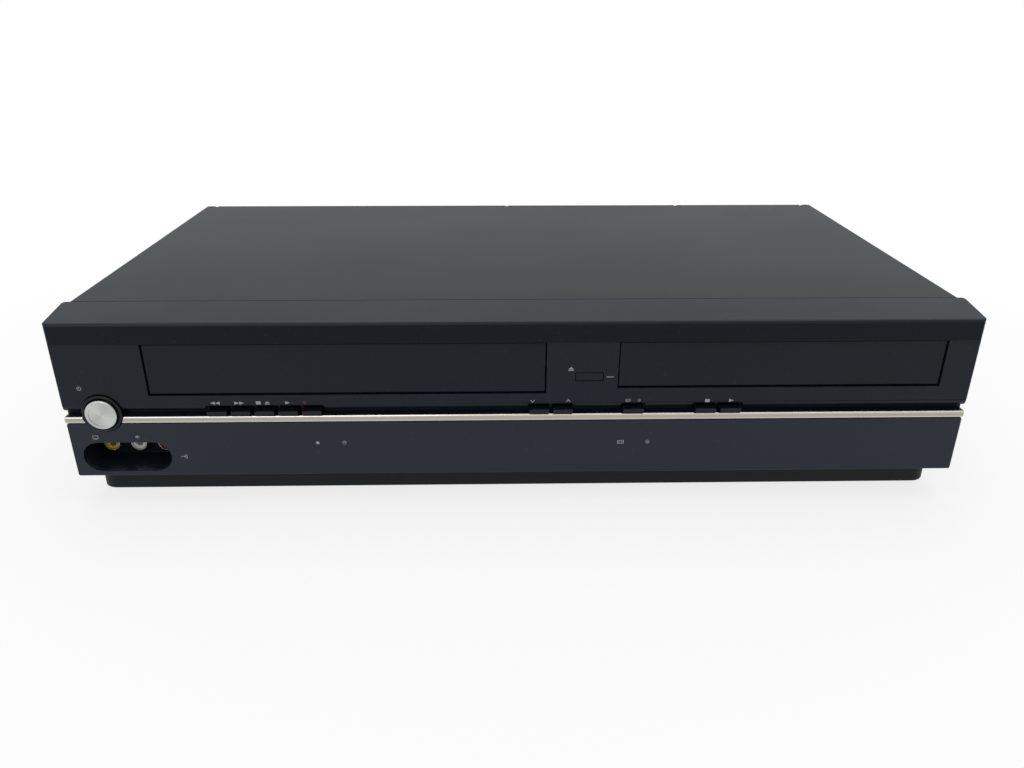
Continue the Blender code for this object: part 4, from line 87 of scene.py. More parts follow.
MARK_PLACES = {
    "rewind_symbol": (-0.1449, 0.0556), "forward_symbol": (-0.1334, 0.0556), "stop_symbol": (-0.1243, 0.0556),
    "eject_symbol": (-0.1201, 0.0556), "play_symbol": (-0.1104, 0.0556), "record_symbol": (-0.1023, 0.0556),
    "down_symbol": (0.0067, 0.0556), "up_symbol": (0.0239, 0.0556), "source_tape_symbol": (0.0527, 0.0556),
    "source_disc_symbol": (0.0580, 0.0556), "disc_stop_symbol": (0.0911, 0.0552),
    "disc_play_symbol": (0.1027, 0.0552), "tray_eject_symbol": (0.0248, 0.0723),
    "tray_light": (0.0434, 0.0680), "standby_symbol": (-0.2075, 0.0637), "record_light": (-0.0980, 0.0340),
    "timer_light": (-0.0850, 0.0340), "tape_light": (0.0502, 0.0332), "disc_light": (0.0635, 0.0332)}
LAMP_TARGET = (0.0, 0.0, 0.05)
OVERHEAD_PLACE, OVERHEAD_SIZE = (0.10, 0.15, 1.25), (1.6, 1.2)
FRONT_PLACE, FRONT_SIZE = (-0.55, -1.20, 0.95), (1.0, 0.8)


# What a user would change

def length_field(name, description, default, low=0.00002, digits=5):
    """A length that a user may change."""
    return FloatProperty(name=name, description=description, default=default, min=low, unit="LENGTH",
                         precision=digits)


def colour_field(name, description, default):
    """A colour that a user may change."""
    return FloatVectorProperty(name=name, description=description, subtype="COLOR", size=3, min=0, max=1,
                               default=default)


class CaseSettings(bpy.types.PropertyGroup):
    """Sizes of the case's small forms."""

    edge_round: length_field("Edge round", "Rounding of a moulded edge", 0.0002)
    sheet_round: length_field("Sheet round", "Rounding of a cut sheet's edge", 0.00012)
    lip_top: length_field("Lip top", "Height at which the lip starts to curve back", 0.0545, digits=4)
    lip_stretch: FloatProperty(name="Lip stretch", description="How far the lip is drawn down",
                               default=1.45, min=1, max=1.6)
    brow_round: length_field("Brow round", "Rounding along the brow's top front edge", 0.0009, 0.0001)
    trim_round: length_field("Trim round", "Rounding of the metal strip's front edges", 0.00045)
    screw_radius: length_field("Screw radius", "Radius of a screw's head", 0.0028, 0.001, 4)
    screw_rise: length_field("Screw rise", "How far a screw's head stands up", 0.0012, 0.0002, 4)
    steps: IntProperty(name="Steps", description="Sides of a turned piece", default=64, min=12)


class PrintSettings(bpy.types.PropertyGroup):
    """Sizes of the printed symbols."""

    height: length_field("Symbol height", "Height of a printed symbol", 0.0017, 0.0005, 4)
    width_share: FloatProperty(name="Width share", description="How much wider than high a symbol is",
                               default=1.35, min=0.5, max=3)
    thickness: length_field("Ink thickness", "How far the ink stands off the moulding", 0.00004, 0.00001)


class ColourSettings(bpy.types.PropertyGroup):
    """Colours of the finishes."""

    cover: colour_field("Cover", "Paint of the sheet cover", (0.0100, 0.0150, 0.0165))
    moulding: colour_field("Moulding", "Black front moulding", (0.0040, 0.0080, 0.0130))
    panel: colour_field("Panel", "Smoked lower panel", (0.0095, 0.0150, 0.0250))
    trim: colour_field("Trim", "Warm metal of the trim strip", (0.60, 0.585, 0.53))
    silver: colour_field("Silver", "Spun metal of the power button", (0.53, 0.54, 0.53))
    keys: colour_field("Keys", "Coat of the small keys", (0.0050, 0.0080, 0.0130))
    ink: colour_field("Ink", "Ink of the printed symbols", (0.30, 0.31, 0.32))


class StageSettings(bpy.types.PropertyGroup):
    """The studio round the recorder."""

    floor: colour_field("Floor", "Colour of the floor", (0.86, 0.86, 0.86))
    floor_white: FloatProperty(name="Floor white", description="Share of plain white that the eye sees in it",
                               default=0.78, min=0, max=1, subtype="FACTOR")
    shadow_reach: FloatProperty(name="Shadow reach", description="Where the floor has faded to plain white",
                                default=0.50, min=0.1, max=1.0, unit="LENGTH")
    room: FloatProperty(name="Room light", description="Strength of the even light of the room",
                        default=0.55, min=0)
    key_power: FloatProperty(name="Key light", description="Power of the large soft light overhead",
                             default=9.0, min=0, unit="POWER")
    fill_power: FloatProperty(name="Fill light", description="Power of the soft light beside the camera",
                              default=4.0, min=0, unit="POWER")
    camera_place: FloatVectorProperty(name="Camera", description="Where the camera stands", size=3,
                                      default=(-0.01028, -0.47538, 0.22755), subtype="TRANSLATION")
    camera_pitch: FloatProperty(name="Pitch", description="How far the camera looks down",
                                default=math.radians(24.37), subtype="ANGLE")
    camera_yaw: FloatProperty(name="Yaw", description="How far the camera looks to the right",
                              default=math.radians(1.13), subtype="ANGLE")
    camera_roll: FloatProperty(name="Roll", description="How far the camera is turned about its own axis",
                               default=math.radians(0.09), subtype="ANGLE")
    lens: FloatProperty(name="Lens", description="Focal length of the lens, in millimetres",
                        default=29.19, min=1, subtype="DISTANCE_CAMERA")


# Shader arithmetic

class Varying:
    """A number, colour or vector that varies over a surface. Arithmetic on a number adds Math nodes."""

    def __init__(self, graph, socket):
        self.graph = graph
        self.socket = socket

    def arithmetic(self, operation, first, second):
        return self.graph.node("ShaderNodeMath", {"operation": operation}, {0: first, 1: second})

    def __add__(self, other):
        return self.arithmetic("ADD", self, other)

    def __mul__(self, other):
        return self.arithmetic("MULTIPLY", self, other)

    def __sub__(self, other):
        return self.arithmetic("SUBTRACT", self, other)

    def __rsub__(self, other):
        return self.arithmetic("SUBTRACT", other, self)

    def __truediv__(self, other):
        return self.arithmetic("DIVIDE", self, other)

    def __pow__(self, other):
        return self.arithmetic("POWER", self, other)

    def __gt__(self, other):
        return self.arithmetic("GREATER_THAN", self, other)

    def __lt__(self, other):
        return self.arithmetic("LESS_THAN", self, other)

    __radd__ = __add__
    __rmul__ = __mul__

    def sine(self):
        return self.arithmetic("SINE", self, 0.0)

    def part(self, axis):
        return self.graph.node("ShaderNodeSeparateXYZ", {}, {"Vector": self}, axis)


class Finish:
    """One material and the nodes that vary it."""

    def __init__(self, name):
        self.material = bpy.data.materials.new(name)
        self.material.use_nodes = True
        self.tree = self.material.node_tree
        self.shader = self.tree.nodes["Principled BSDF"]
        FINISHES[name] = self.material

    def node(self, kind, settings, inputs, output=0):
        made = self.tree.nodes.new(kind)
        for name, value in settings.items():
            if name == "stops":
                self.set_stops(made.color_ramp, value)
            else:
                setattr(made, name, value)
        for key, value in inputs.items():
            self.feed(made.inputs[key], value)
        return Varying(self, made.outputs[output])

    def set_stops(self, ramp, stops):
        for element, (position, shade) in zip(ramp.elements, stops):
            element.position = position
            element.color = (shade, shade, shade, 1.0)

    def feed(self, socket, value):
        if isinstance(value, Varying):
            self.tree.links.new(value.socket, socket)
        else:
            socket.default_value = value

    def place(self, stretch=(1.0, 1.0, 1.0)):
        spot = self.node("ShaderNodeTexCoord", {}, {}, "Object")
        if stretch == (1.0, 1.0, 1.0):
            return spot
        return self.node("ShaderNodeMapping", {}, {"Vector": spot, "Scale": stretch})

    def noise(self, spot, size, detail=2.0):
        return self.node("ShaderNodeTexNoise", {}, {"Vector": spot, "Scale": 1 / size, "Detail": detail})

    def cells(self, spot, size, output="Distance"):
        return self.node("ShaderNodeTexVoronoi", {}, {"Vector": spot, "Scale": 1 / size}, output)

    def ramp(self, value, stops):
        return self.node("ShaderNodeValToRGB", {"stops": stops}, {"Fac": value})

    def mix(self, share, first, second):
        return self.node("ShaderNodeMix", {"data_type": "RGBA"},
                         {0: share, 6: (*first, 1.0) if isinstance(first, tuple) else first,
                          7: (*second, 1.0) if isinstance(second, tuple) else second}, 2)

    def bump(self, height, depth, strength=1.0):
        return self.node("ShaderNodeBump", {}, {"Height": height, "Distance": depth, "Strength": strength})

    def set(self, **values):
        for name, value in values.items():
            self.feed(self.shader.inputs[name.replace("_", " ")], value)
        return self.material


def seen_rays(tree):
    """One where a ray comes from the camera, a gloss or a clear surface, and zero elsewhere."""
    path = tree.nodes.new("ShaderNodeLightPath")
    seen = path.outputs["Is Camera Ray"]
    for name in ("Is Glossy Ray", "Is Transmission Ray"):
        either = tree.nodes.new("ShaderNodeMath")
        either.operation = "MAXIMUM"
        tree.links.new(seen, either.inputs[0])
        tree.links.new(path.outputs[name], either.inputs[1])
        seen = either.outputs[0]
    return seen


def shade(colour, factor):
    """A colour made lighter or darker."""
    return tuple(min(1.0, channel * factor) for channel in colour)


def moulded(name, colour, roughness, grain=0.0006, depth=0.00001, specular=0.5, wear=0.0):
    """Moulded plastic: a fine grain, a slight cloudiness, a little dust and rubbed patches."""
    look = Finish(name)
    spot = look.place()
    fine = look.noise(spot, grain, 3.0)
    broad = look.noise(spot, 0.05)
    dust = look.ramp(look.noise(spot, 0.0011, 1.0), ((0.70, 0.0), (0.78, 1.0)))
    base = look.mix(broad, shade(colour, 0.86), shade(colour, 1.14))
    base = look.mix(dust * 0.04, base, (0.30, 0.30, 0.30))
    rubbed = look.ramp(look.noise(look.place((1.0, 1.0, 3.0)), 0.03, 4.0), ((0.45, 0.0), (0.75, 1.0)))
    look.set(Base_Color=base, Roughness=roughness + (fine - 0.5) * 0.10 + rubbed * (wear + 0.03),
             Normal=look.bump(fine, depth), Specular_IOR_Level=specular)
    return look.material


def painted_sheet(name, colour, scuffs=0.10):
    """Satin paint on sheet steel: orange peel, faint clouds, dust and a few hairline scuffs."""
    look = Finish(name)
    spot = look.place()
    peel = look.noise(spot, 0.0009, 2.0)
    clouds = look.noise(spot, 0.09, 3.0)
    hair = look.noise(look.place((1.0, 0.06, 1.0)), 0.0020, 2.0)
    rear = look.ramp(spot.part("Y") + spot.part("X") * 0.25, ((0.115, 0.0), (0.165, 1.0)))
    scuff = look.ramp(hair, ((0.66, 0.0), (0.70, 1.0))) * rear
    dust = look.ramp(look.noise(spot, 0.0012, 1.0), ((0.72, 0.0), (0.80, 1.0)))
    base = look.mix(clouds, shade(colour, 0.85), shade(colour, 1.15))
    base = look.mix(scuff * scuffs + dust * 0.03, base, (0.35, 0.35, 0.35))
    look.set(Base_Color=base, Roughness=0.40 + (peel - 0.5) * 0.06 + (clouds - 0.5) * 0.08,
             Normal=look.bump(peel, 0.000012, 0.8), Specular_IOR_Level=0.08)
    return look.material


def brushed(name, colour, roughness, stretch, grain=0.0004, metallic=1.0):
    """Metal with fine lines along one direction and faint tarnish."""
    look = Finish(name)
    lines = look.noise(look.place(stretch), grain, 3.0)
    tarnish = look.noise(look.place(), 0.02, 3.0)
    base = look.mix(tarnish, shade(colour, 0.90), shade(colour, 1.06))
    base = look.mix(lines * 0.25, base, shade(colour, 0.80))
    look.set(Base_Color=base, Roughness=roughness + (lines - 0.5) * 0.16 + (tarnish - 0.5) * 0.06,
             Metallic=metallic, Normal=look.bump(lines, 0.000004, 0.7))
    return look.material


def polished_strip(name, colour):
    """Metal foil with a brushed tan middle between two polished edges."""
    low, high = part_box("trim_strip_right")
    look = Finish(name)
    lines = look.noise(look.place((0.03, 1.0, 1.0)), 0.0004, 3.0)
    tarnish = look.noise(look.place(), 0.02, 3.0)
    height = (look.place().part("Z") - low.z) / (high.z - low.z)
    middle = (height > 0.26) * (height < 0.78)
    base = look.mix(tarnish, shade(colour, 0.92), shade(colour, 1.06))
    base = look.mix(middle * 0.9, base, (colour[0] * 0.66, colour[1] * 0.61, colour[2] * 0.58))
    look.set(Base_Color=base, Roughness=0.20 + middle * 0.12 + (lines - 0.5) * 0.12, Metallic=1.0,
             Normal=look.bump(lines, 0.000004, 0.7))
    return look.material


def turned_metal(name, colour, roughness, centre, axes, pitch):
    """Metal with fine rings as a lathe leaves them, and painted sectors of highlight and shade about a
    centre.
    """
    look = Finish(name)
    spot = look.place()
    across = spot.part(axes[0]) - centre[0]
    along = spot.part(axes[1]) - centre[1]
    radius = (across * across + along * along) ** 0.5
    rings = (radius * (2 * math.pi / pitch)).sine() * 0.5 + 0.5
    uneven = look.noise(look.node("ShaderNodeCombineXYZ", {}, {"X": radius}), pitch * 1.7, 3.0)
    tarnish = look.noise(spot, 0.006, 3.0)
    base = look.mix(tarnish, shade(colour, 0.94), shade(colour, 1.05))
    # Painted highlight and shade: base colour lighter and darker by angle about the centre, where spun
    # metal's reflections fall; it also varies the roughness.
    painted_sheen_fan = across * along * 2 / (radius * radius)
    base = look.mix((painted_sheen_fan * 0.5 + 0.5) * (1.0 - rings * 0.3) * 0.55, base, shade(colour, 0.62))
    look.set(Base_Color=base, Roughness=roughness + (uneven - 0.5) * 0.20 + painted_sheen_fan * 0.06, Metallic=1.0,
             Normal=look.bump(rings * 0.5 + uneven, 0.000008, 0.9))
    return look.material


def zinc_plate(name, colour):
    """Zinc-plated sheet with faint crystal patches."""
    look = Finish(name)
    spot = look.place()
    flakes = look.cells(spot, 0.0035, "Color").part("X")
    fine = look.noise(spot, 0.0006, 3.0)
    base = look.mix(flakes, shade(colour, 0.86), shade(colour, 1.05))
    look.set(Base_Color=base, Roughness=0.30 + flakes * 0.14 + (fine - 0.5) * 0.08, Metallic=1.0,
             Normal=look.bump(fine, 0.000006, 0.6))
    return look.material


def laminate(name, colour, track):
    """A printed board: lacquer over copper tracks, with solder spots."""
    look = Finish(name)
    spot = look.place()
    tracks = look.ramp(look.cells(look.place((1.0, 2.2, 1.0)), 0.0042), ((0.30, 0.0), (0.36, 1.0)))
    dots = look.ramp(look.cells(spot, 0.0029), ((0.10, 1.0), (0.14, 0.0)))
    base = look.mix(tracks, colour, track)
    base = look.mix(dots, base, (0.45, 0.45, 0.42))
    look.set(Base_Color=base, Roughness=0.42 - dots * 0.12, Metallic=dots * 0.8,
             Normal=look.bump(tracks + dots, 0.00003, 0.6))
    return look.material


def display_glass(name):
    """Dark glass with the faint grid of an unlit display."""
    look = Finish(name)
    spot = look.place((1.0, 0.0, 1.0))
    grid = look.ramp(look.cells(spot, 0.0016), ((0.05, 1.0), (0.12, 0.0)))
    look.set(Base_Color=look.mix(grid * 0.3, (0.004, 0.009, 0.008), (0.02, 0.035, 0.03)),
             Roughness=0.07 + grid * 0.05, Coat_Weight=1.0)
    return look.material


def lens_glass(name):
    """The coated glass of the pickup's lens."""
    look = Finish(name)
    tint = look.noise(look.place(), 0.004)
    look.set(Base_Color=look.mix(tint, (0.01, 0.015, 0.05), (0.03, 0.02, 0.07)), Roughness=0.04 + tint * 0.03,
             Coat_Weight=1.0)
    return look.material


def make_finishes():
    """Every finish, under the name that the pieces ask for."""
    colours = bpy.context.scene.recorder_colours
    painted_sheet("cover_paint", tuple(colours.cover))
    painted_sheet("rear_paint", tuple(colours.cover), 0.0)
    black = tuple(colours.moulding)
    moulded("front_black", black, 0.34, specular=0.20, wear=0.02)
    moulded("brow_black", shade(black, 0.75), 0.26, specular=0.12)
    moulded("door_black", shade(black, 0.9), 0.28, 0.0005, 0.000006, 0.18)
    moulded("pocket_black", (0.0055, 0.0080, 0.0160), 0.55, specular=0.12)
    moulded("smoked_panel", tuple(colours.panel), 0.16, 0.0008, 0.000002, 0.26)
    moulded("gloss_black", shade(black, 0.6), 0.14, 0.0008, 0.000002, 0.22)
    moulded("key_coat", tuple(colours.keys), 0.18, 0.0004, 0.000004, 0.20)
    moulded("base_black", (0.0060, 0.0072, 0.0090), 0.55, 0.0008, 0.00004, 0.2)
    moulded("loader_black", (0.0130, 0.0130, 0.0140), 0.50, 0.0007, 0.00003, 0.4)
    moulded("dark_grey", (0.040, 0.042, 0.045), 0.42, 0.0006, 0.00001)
    moulded("white_acetal", (0.70, 0.69, 0.65), 0.42, 0.0006, 0.000008)
    moulded("rubber_black", (0.011, 0.011, 0.012), 0.82, 0.0005, 0.00005, 0.3)
    for name, colour in JACK_COLOURS.items():
        moulded("jack_" + name, colour, 0.32, 0.0004, 0.000004)
    moulded("ink_grey", tuple(colours.ink), 0.60, 0.0003, 0.000002, 0.3)
    moulded("ink_red", (0.085, 0.018, 0.022), 0.60, 0.0003, 0.000002, 0.3)
    moulded("light_pipe", (0.20, 0.21, 0.22), 0.22, 0.0004, 0.000002, 0.5)
    polished_strip("champagne_trim", tuple(colours.trim))
    brushed("ground_steel", (0.58, 0.58, 0.58), 0.24, (1.0, 0.08, 1.0))
    brushed("nickel", (0.66, 0.64, 0.60), 0.32, (1.0, 0.3, 1.0), 0.0003)
    brushed("screw_black", (0.030, 0.030, 0.032), 0.34, (1.0, 0.3, 1.0), 0.0004, 0.4)
    zinc_plate("zinc_plate", (0.55, 0.56, 0.57))
    laminate("green_board", (0.012, 0.070, 0.025), (0.030, 0.140, 0.050))
    laminate("brown_board", (0.230, 0.130, 0.050), (0.330, 0.200, 0.080))
    display_glass("display_glass")
    lens_glass("lens_glass")
    middle = centre_of("power_button")
    turned_metal("spun_silver", tuple(colours.silver), 0.27, (middle.x, middle.z), ("X", "Z"), 0.00030)
    middle = centre_of("head_drum_lower")
    turned_metal("drum_metal", (0.64, 0.64, 0.65), 0.24, (middle.x, middle.y), ("X", "Y"), 0.0003)


# Modelling steps

def activate(piece):
    """Make one piece the only selected object and the active one."""
    bpy.ops.object.select_all(action="DESELECT")
    piece.select_set(True)
    bpy.context.view_layer.objects.active = piece


def begin_edit(piece):
    """Open a piece in edit mode with all of it selected."""
    activate(piece)
    bpy.ops.object.mode_set(mode="EDIT")
    bpy.ops.mesh.select_all(action="SELECT")


def end_edit():
    bpy.ops.object.mode_set(mode="OBJECT")


def choose(kind, test):
    """Select the edited mesh's corners, edges or faces that pass a test."""
    bpy.ops.mesh.select_all(action="DESELECT")
    bpy.ops.mesh.select_mode(type=kind)
    mesh = bpy.context.edit_object.data
    shape = bmesh.from_edit_mesh(mesh)
    for item in {"VERT": shape.verts, "EDGE": shape.edges, "FACE": shape.faces}[kind]:
        item.select_set(test(item))
    shape.select_flush_mode()
    bmesh.update_edit_mesh(mesh)


def apply_modifier(piece, kind, **settings):
    """Add a modifier, set it and apply it."""
    activate(piece)
    modifier = piece.modifiers.new(kind.lower(), kind)
    for name, value in settings.items():
        setattr(modifier, name, value)
    bpy.ops.object.modifier_apply(modifier=modifier.name)


def round_edges(piece, width, segments=2):
    """Round the sharp edges and shade the flats flat."""
    apply_modifier(piece, "BEVEL", width=width, segments=segments, limit_method="ANGLE", angle_limit=SHARP,
                   use_clamp_overlap=False, miter_outer="MITER_ARC")
    soften(piece)


def soften(piece, angle=SHARP):
    """Shade smooth up to an angle, with the large faces leading."""
    activate(piece)
    bpy.ops.object.shade_smooth_by_angle(angle=angle)
    apply_modifier(piece, "WEIGHTED_NORMAL", keep_sharp=True)


def settle(piece, name, finish, body):
    """Name a finished piece, give it its finish and set it on its body, with its place in its mesh."""
    activate(piece)
    bpy.ops.object.transform_apply(location=True, rotation=True, scale=True)
    piece.name = name
    piece.data.name = name
    piece.data.materials.clear()
    piece.data.materials.append(FINISHES[finish])
    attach(piece, body)
    return piece


def copied(node):
    """A welded copy of a measured node."""
    piece = frame["nodes"][node].copy()
    piece.data = piece.data.copy()
    piece.parent = None
    for key in list(piece.keys()):
        del piece[key]
    bpy.context.scene.collection.objects.link(piece)
    begin_edit(piece)
    bpy.ops.mesh.remove_doubles(threshold=MERGE)
    end_edit()
    return piece


def finish_copy(piece, node, finish, width, segments=2):
    """Round a copy's edges and let it stand for its node."""
    round_edges(piece, width, segments)
    settle(piece, node + "_shell", finish, BODY_OF[node])
    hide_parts(node)
    return piece


def dressed(node, finish, width, segments=2):
    """A copy of a measured node with its edges rounded stands for the node."""
    return finish_copy(copied(node), node, finish, width, segments)


def refinish(piece, finish, test):
    """Give the faces that pass a test a second finish."""
    piece.data.materials.append(FINISHES[finish])
    begin_edit(piece)
    choose("FACE", test)
    bpy.context.object.active_material_index = 1
    bpy.ops.object.material_slot_assign()
    end_edit()


def turned(profile, steps, closed=False):
    """Draw a circle out through a profile of (radius, height) rings; a closed profile meets its start."""
    radius, height = profile[0]
    bpy.ops.object.select_all(action="DESELECT")
    bpy.ops.mesh.primitive_circle_add(vertices=steps, radius=radius, location=(0, 0, 0),
                                      fill_type="NOTHING" if closed else "NGON")
    piece = bpy.context.object
    begin_edit(piece)
    bpy.ops.transform.translate(value=(0, 0, height))
    bpy.ops.mesh.select_mode(type="EDGE")
    for next_radius, next_height in profile[1:]:
        share = next_radius / radius
        bpy.ops.mesh.extrude_edges_move(TRANSFORM_OT_translate={"value": (0, 0, next_height - height)})
        bpy.ops.transform.resize(value=(share, share, 1), center_override=(0, 0, 0))
        radius, height = next_radius, next_height
    if not closed:
        bpy.ops.mesh.edge_face_add()
    bpy.ops.mesh.select_all(action="SELECT")
    bpy.ops.mesh.remove_doubles(threshold=MERGE / 10)
    bpy.ops.mesh.normals_make_consistent(inside=False)
    end_edit()
    return piece


def box_piece(low, high):
    """A cube drawn to two corners."""
    low, high = Vector(low), Vector(high)
    bpy.ops.object.select_all(action="DESELECT")
    bpy.ops.mesh.primitive_cube_add(size=1, location=(low + high) / 2)
    piece = bpy.context.object
    piece.scale = high - low
    bpy.ops.object.transform_apply(location=True, rotation=True, scale=True)
    return piece


def plate(corners, thickness, width):
    """A flat polygon, drawn from a circle of as many corners, pushed out to a plate with soft edges."""
    bpy.ops.object.select_all(action="DESELECT")
    bpy.ops.mesh.primitive_circle_add(vertices=len(corners), radius=1, fill_type="NGON")
    piece = bpy.context.object
    for vertex, (x, y) in zip(piece.data.vertices, corners):
        vertex.co = (x, y, 0)
    begin_edit(piece)
    bpy.ops.mesh.extrude_region_move(TRANSFORM_OT_translate={"value": (0, 0, thickness)})
    bpy.ops.mesh.select_all(action="SELECT")
    bpy.ops.mesh.normals_make_consistent(inside=False)
    end_edit()
    apply_modifier(piece, "BEVEL", width=width, segments=1, limit_method="ANGLE", use_clamp_overlap=True)
    return piece


def stand(piece, place, side="top"):
    """Turn a piece made along +Z to face a side, and carry it to its place."""
    piece.data.transform(Matrix.Translation(Vector(place)) @ SIDES[side])
    return piece


def copy_of(piece):
    """A second piece with its own mesh."""
    second = piece.copy()
    second.data = piece.data.copy()
    bpy.context.scene.collection.objects.link(second)
    return second


def join(pieces):
    """Several pieces made one."""
    activate(pieces[0])
    for piece in pieces[1:]:
        piece.select_set(True)
    bpy.ops.object.join()
    return bpy.context.object


def remove(piece):
    """Take a model piece out of the file."""
    bpy.data.objects.remove(piece)


def measures(node):
    """A measured node's low and high corners and its middle."""
    low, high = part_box(node)
    return low, high, (low + high) / 2


def centre_of(node):
    """The middle of a measured node's box."""
    return measures(node)[2]


# Pieces

class RecorderOperator(bpy.types.Operator):
    """Shared settings of the operators that build the recorder."""

    bl_options = {"REGISTER", "UNDO"}

    def execute(self, context):
        self.build(context.scene)
        return {"FINISHED"}


class RECORDER_OT_finishes(RecorderOperator):
    """Make the materials of every surface"""

    bl_idname = "recorder.finishes"
    bl_label = "Finishes"

    def build(self, scene):
        make_finishes()


class RECORDER_OT_case(RecorderOperator):
    """Dress the sheet cover, the rear sheet, the base moulding and the feet"""

    bl_idname = "recorder.case"
    bl_label = "Case"

    def build(self, scene):
        case = scene.recorder_case
        dressed("top_cover", "cover_paint", case.sheet_round)
        dressed("rear_panel", "rear_paint", case.sheet_round)
        dressed("base_chassis", "base_black", case.edge_round)
        for corner in ("front_left", "front_right", "rear_left", "rear_right"):
            self.foot("foot_" + corner, case.steps)

    def foot(self, node, steps):
        """A foot with a rounded tread edge and a shallow ring in its sole."""
        low, high, middle = measures(node)
        radius = (high.x - low.x) / 2
        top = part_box("base_chassis")[0].z
        rise, edge = top - low.z, (high.x - low.x) / 30
        profile = [(radius * 0.30, edge / 2), (radius * 0.62, edge / 2), (radius * 0.66, 0),
                   (radius - 2 * edge, 0), (radius - edge / 2, edge / 2), (radius, edge * 1.5),
                   (radius, rise - edge), (radius - edge, rise - edge / 4), (radius * 0.4, rise - edge / 4),
                   (radius * 0.38, high.z)]
        piece = stand(turned(profile, steps // 2), (middle.x, middle.y, 0))
        soften(piece)
        settle(piece, node + "_tread", "rubber_black", "case")
        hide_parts(node)


class RECORDER_OT_front(RecorderOperator):
    """Dress the front moulding, the smoked panel, the trim strips, the doors and the jack pocket"""

    bl_idname = "recorder.front"
    bl_label = "Front"

    def build(self, scene):
        edge = scene.recorder_case.edge_round
        self.moulding(scene.recorder_case)
        dressed("lower_panel", "smoked_panel", edge)
        for node in ("trim_strip_left", "trim_strip_right"):
            self.strip(node, scene.recorder_case.trim_round)
        dressed("cassette_door", "door_black", edge)
        dressed("tray_front", "door_black", edge)
        dressed("jack_pocket", "pocket_black", edge)
        dressed("status_display", "display_glass", edge)

    def moulding(self, case):
        """The front moulding, with a broad round along the brow's top edge and a darker brow."""
        low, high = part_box("front_fascia")
        front, foot = low.y + case.edge_round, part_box("tray_front")[1].z + case.edge_round * 2
        crown = high.z - (high.z - foot) / 3
        source = frame["nodes"]["front_fascia"].data.vertices
        top = max(vertex.co.z for vertex in source if vertex.co.y < front)
        piece = copied("front_fascia")
        self.lengthen_lip(piece, case)
        begin_edit(piece)
        choose("EDGE", lambda edge: all(corner.co.y < front and corner.co.z > top - MERGE
                                        for corner in edge.verts))
        bpy.ops.mesh.bevel(offset=case.brow_round, segments=4)
        end_edit()
        finish_copy(piece, "front_fascia", "front_black", case.edge_round, 3)
        refinish(piece, "brow_black", lambda face: foot < face.calc_center_median().z < crown
                 and face.normal.y < -0.9 and face.calc_center_median().y < front)

    def lengthen_lip(self, piece, case):
        """Draw the curved lip down towards the strip, clear of the keys' notches."""
        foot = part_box("tape_play_button")[1].z
        strip_low, strip_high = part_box("trim_strip_right")
        recess = strip_high.y + (strip_low.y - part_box("lower_panel")[0].y) / 3
        rim_height, rim_depth = 0.00015, 0.0006
        begin_edit(piece)
        choose("VERT", lambda corner: foot < corner.co.z < case.lip_top - MERGE
               and (corner.co.y < recess
                    or (corner.co.z < foot + rim_height and corner.co.y < recess + rim_depth)))
        bpy.ops.transform.resize(value=(1, 1, case.lip_stretch), center_override=(0, 0, case.lip_top))
        end_edit()

    def strip(self, node, width):
        """A strip with a metal foil on its rounded front and the bare black moulding behind."""
        piece = dressed(node, "champagne_trim", width, 3)
        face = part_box(node)[0].y + width
        refinish(piece, "front_black", lambda item: item.calc_center_median().y > face)


class RECORDER_OT_power_button(RecorderOperator):
    """Turn the power button's gloss bezel and its spun metal cap"""

    bl_idname = "recorder.power_button"
    bl_label = "Power button"

    def build(self, scene):
        steps = scene.recorder_case.steps
        self.bezel(steps)
        self.cap(steps)

    def bezel(self, steps):
        """A ring with a rolled front edge and a dark inner chamfer."""
        low, high, middle = measures("power_button_bezel")
        cap_low, cap_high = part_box("power_button")
        outer, cap = (high.x - low.x) / 2, (cap_high.x - cap_low.x) / 2
        bore = cap + (outer - cap) * 0.22
        depth = high.y - low.y
        lip = outer - bore
        rolled = [(bore + lip / 2 - lip / 2 * math.cos(angle), -lip * 0.34 * math.sin(angle) + lip * 0.34)
                  for angle in (math.pi * step / 10 for step in range(11))]
        profile = [(radius, -height) for radius, height in rolled]
        profile += [(outer, -depth), (bore, -depth), profile[0]]
        piece = stand(turned(profile, steps, True), (middle.x, low.y, middle.z), "front")
        soften(piece)
        settle(piece, "power_bezel_ring", "gloss_black", "case")
        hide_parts("power_button_bezel")

    def cap(self, steps):
        """A cap with a turned edge, a shallow dish and its stem."""
        low, high, middle = measures("power_button")
        radius = (high.x - low.x) / 2
        depth = high.y - low.y
        edge = radius / 9
        dish = [(radius * share, -edge * 0.7 * (1 - share ** 2)) for share in (0.06, 0.25, 0.45, 0.65, 0.82)]
        rim = [(radius - edge * 2.2, -edge * 0.05), (radius - edge * 1.6, 0)]
        turn = [(radius - edge + edge * math.sin(angle), -edge + edge * math.cos(angle))
                for angle in (math.pi / 2 * step / 5 for step in range(1, 6))]
        stem = radius * 0.4
        profile = dish + rim + turn + [(radius, -edge * 6), (radius - edge, -edge * 7), (stem, -edge * 7),
                                       (stem, -depth)]
        piece = stand(turned(profile, steps), (middle.x, low.y, middle.z), "front")
        soften(piece)
        settle(piece, "power_cap", "spun_silver", "power_key")
        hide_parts("power_button")


class RECORDER_OT_keys(RecorderOperator):
    """Dress the small keys under the doors and the flush key between them"""

    bl_idname = "recorder.keys"
    bl_label = "Keys"

    def build(self, scene):
        edge = scene.recorder_case.edge_round
        for node in [name for name in sorted(BODY_OF) if SLOT_OF[name] == "keys"]:
            dressed(node, "key_coat", edge * 0.9, 3)


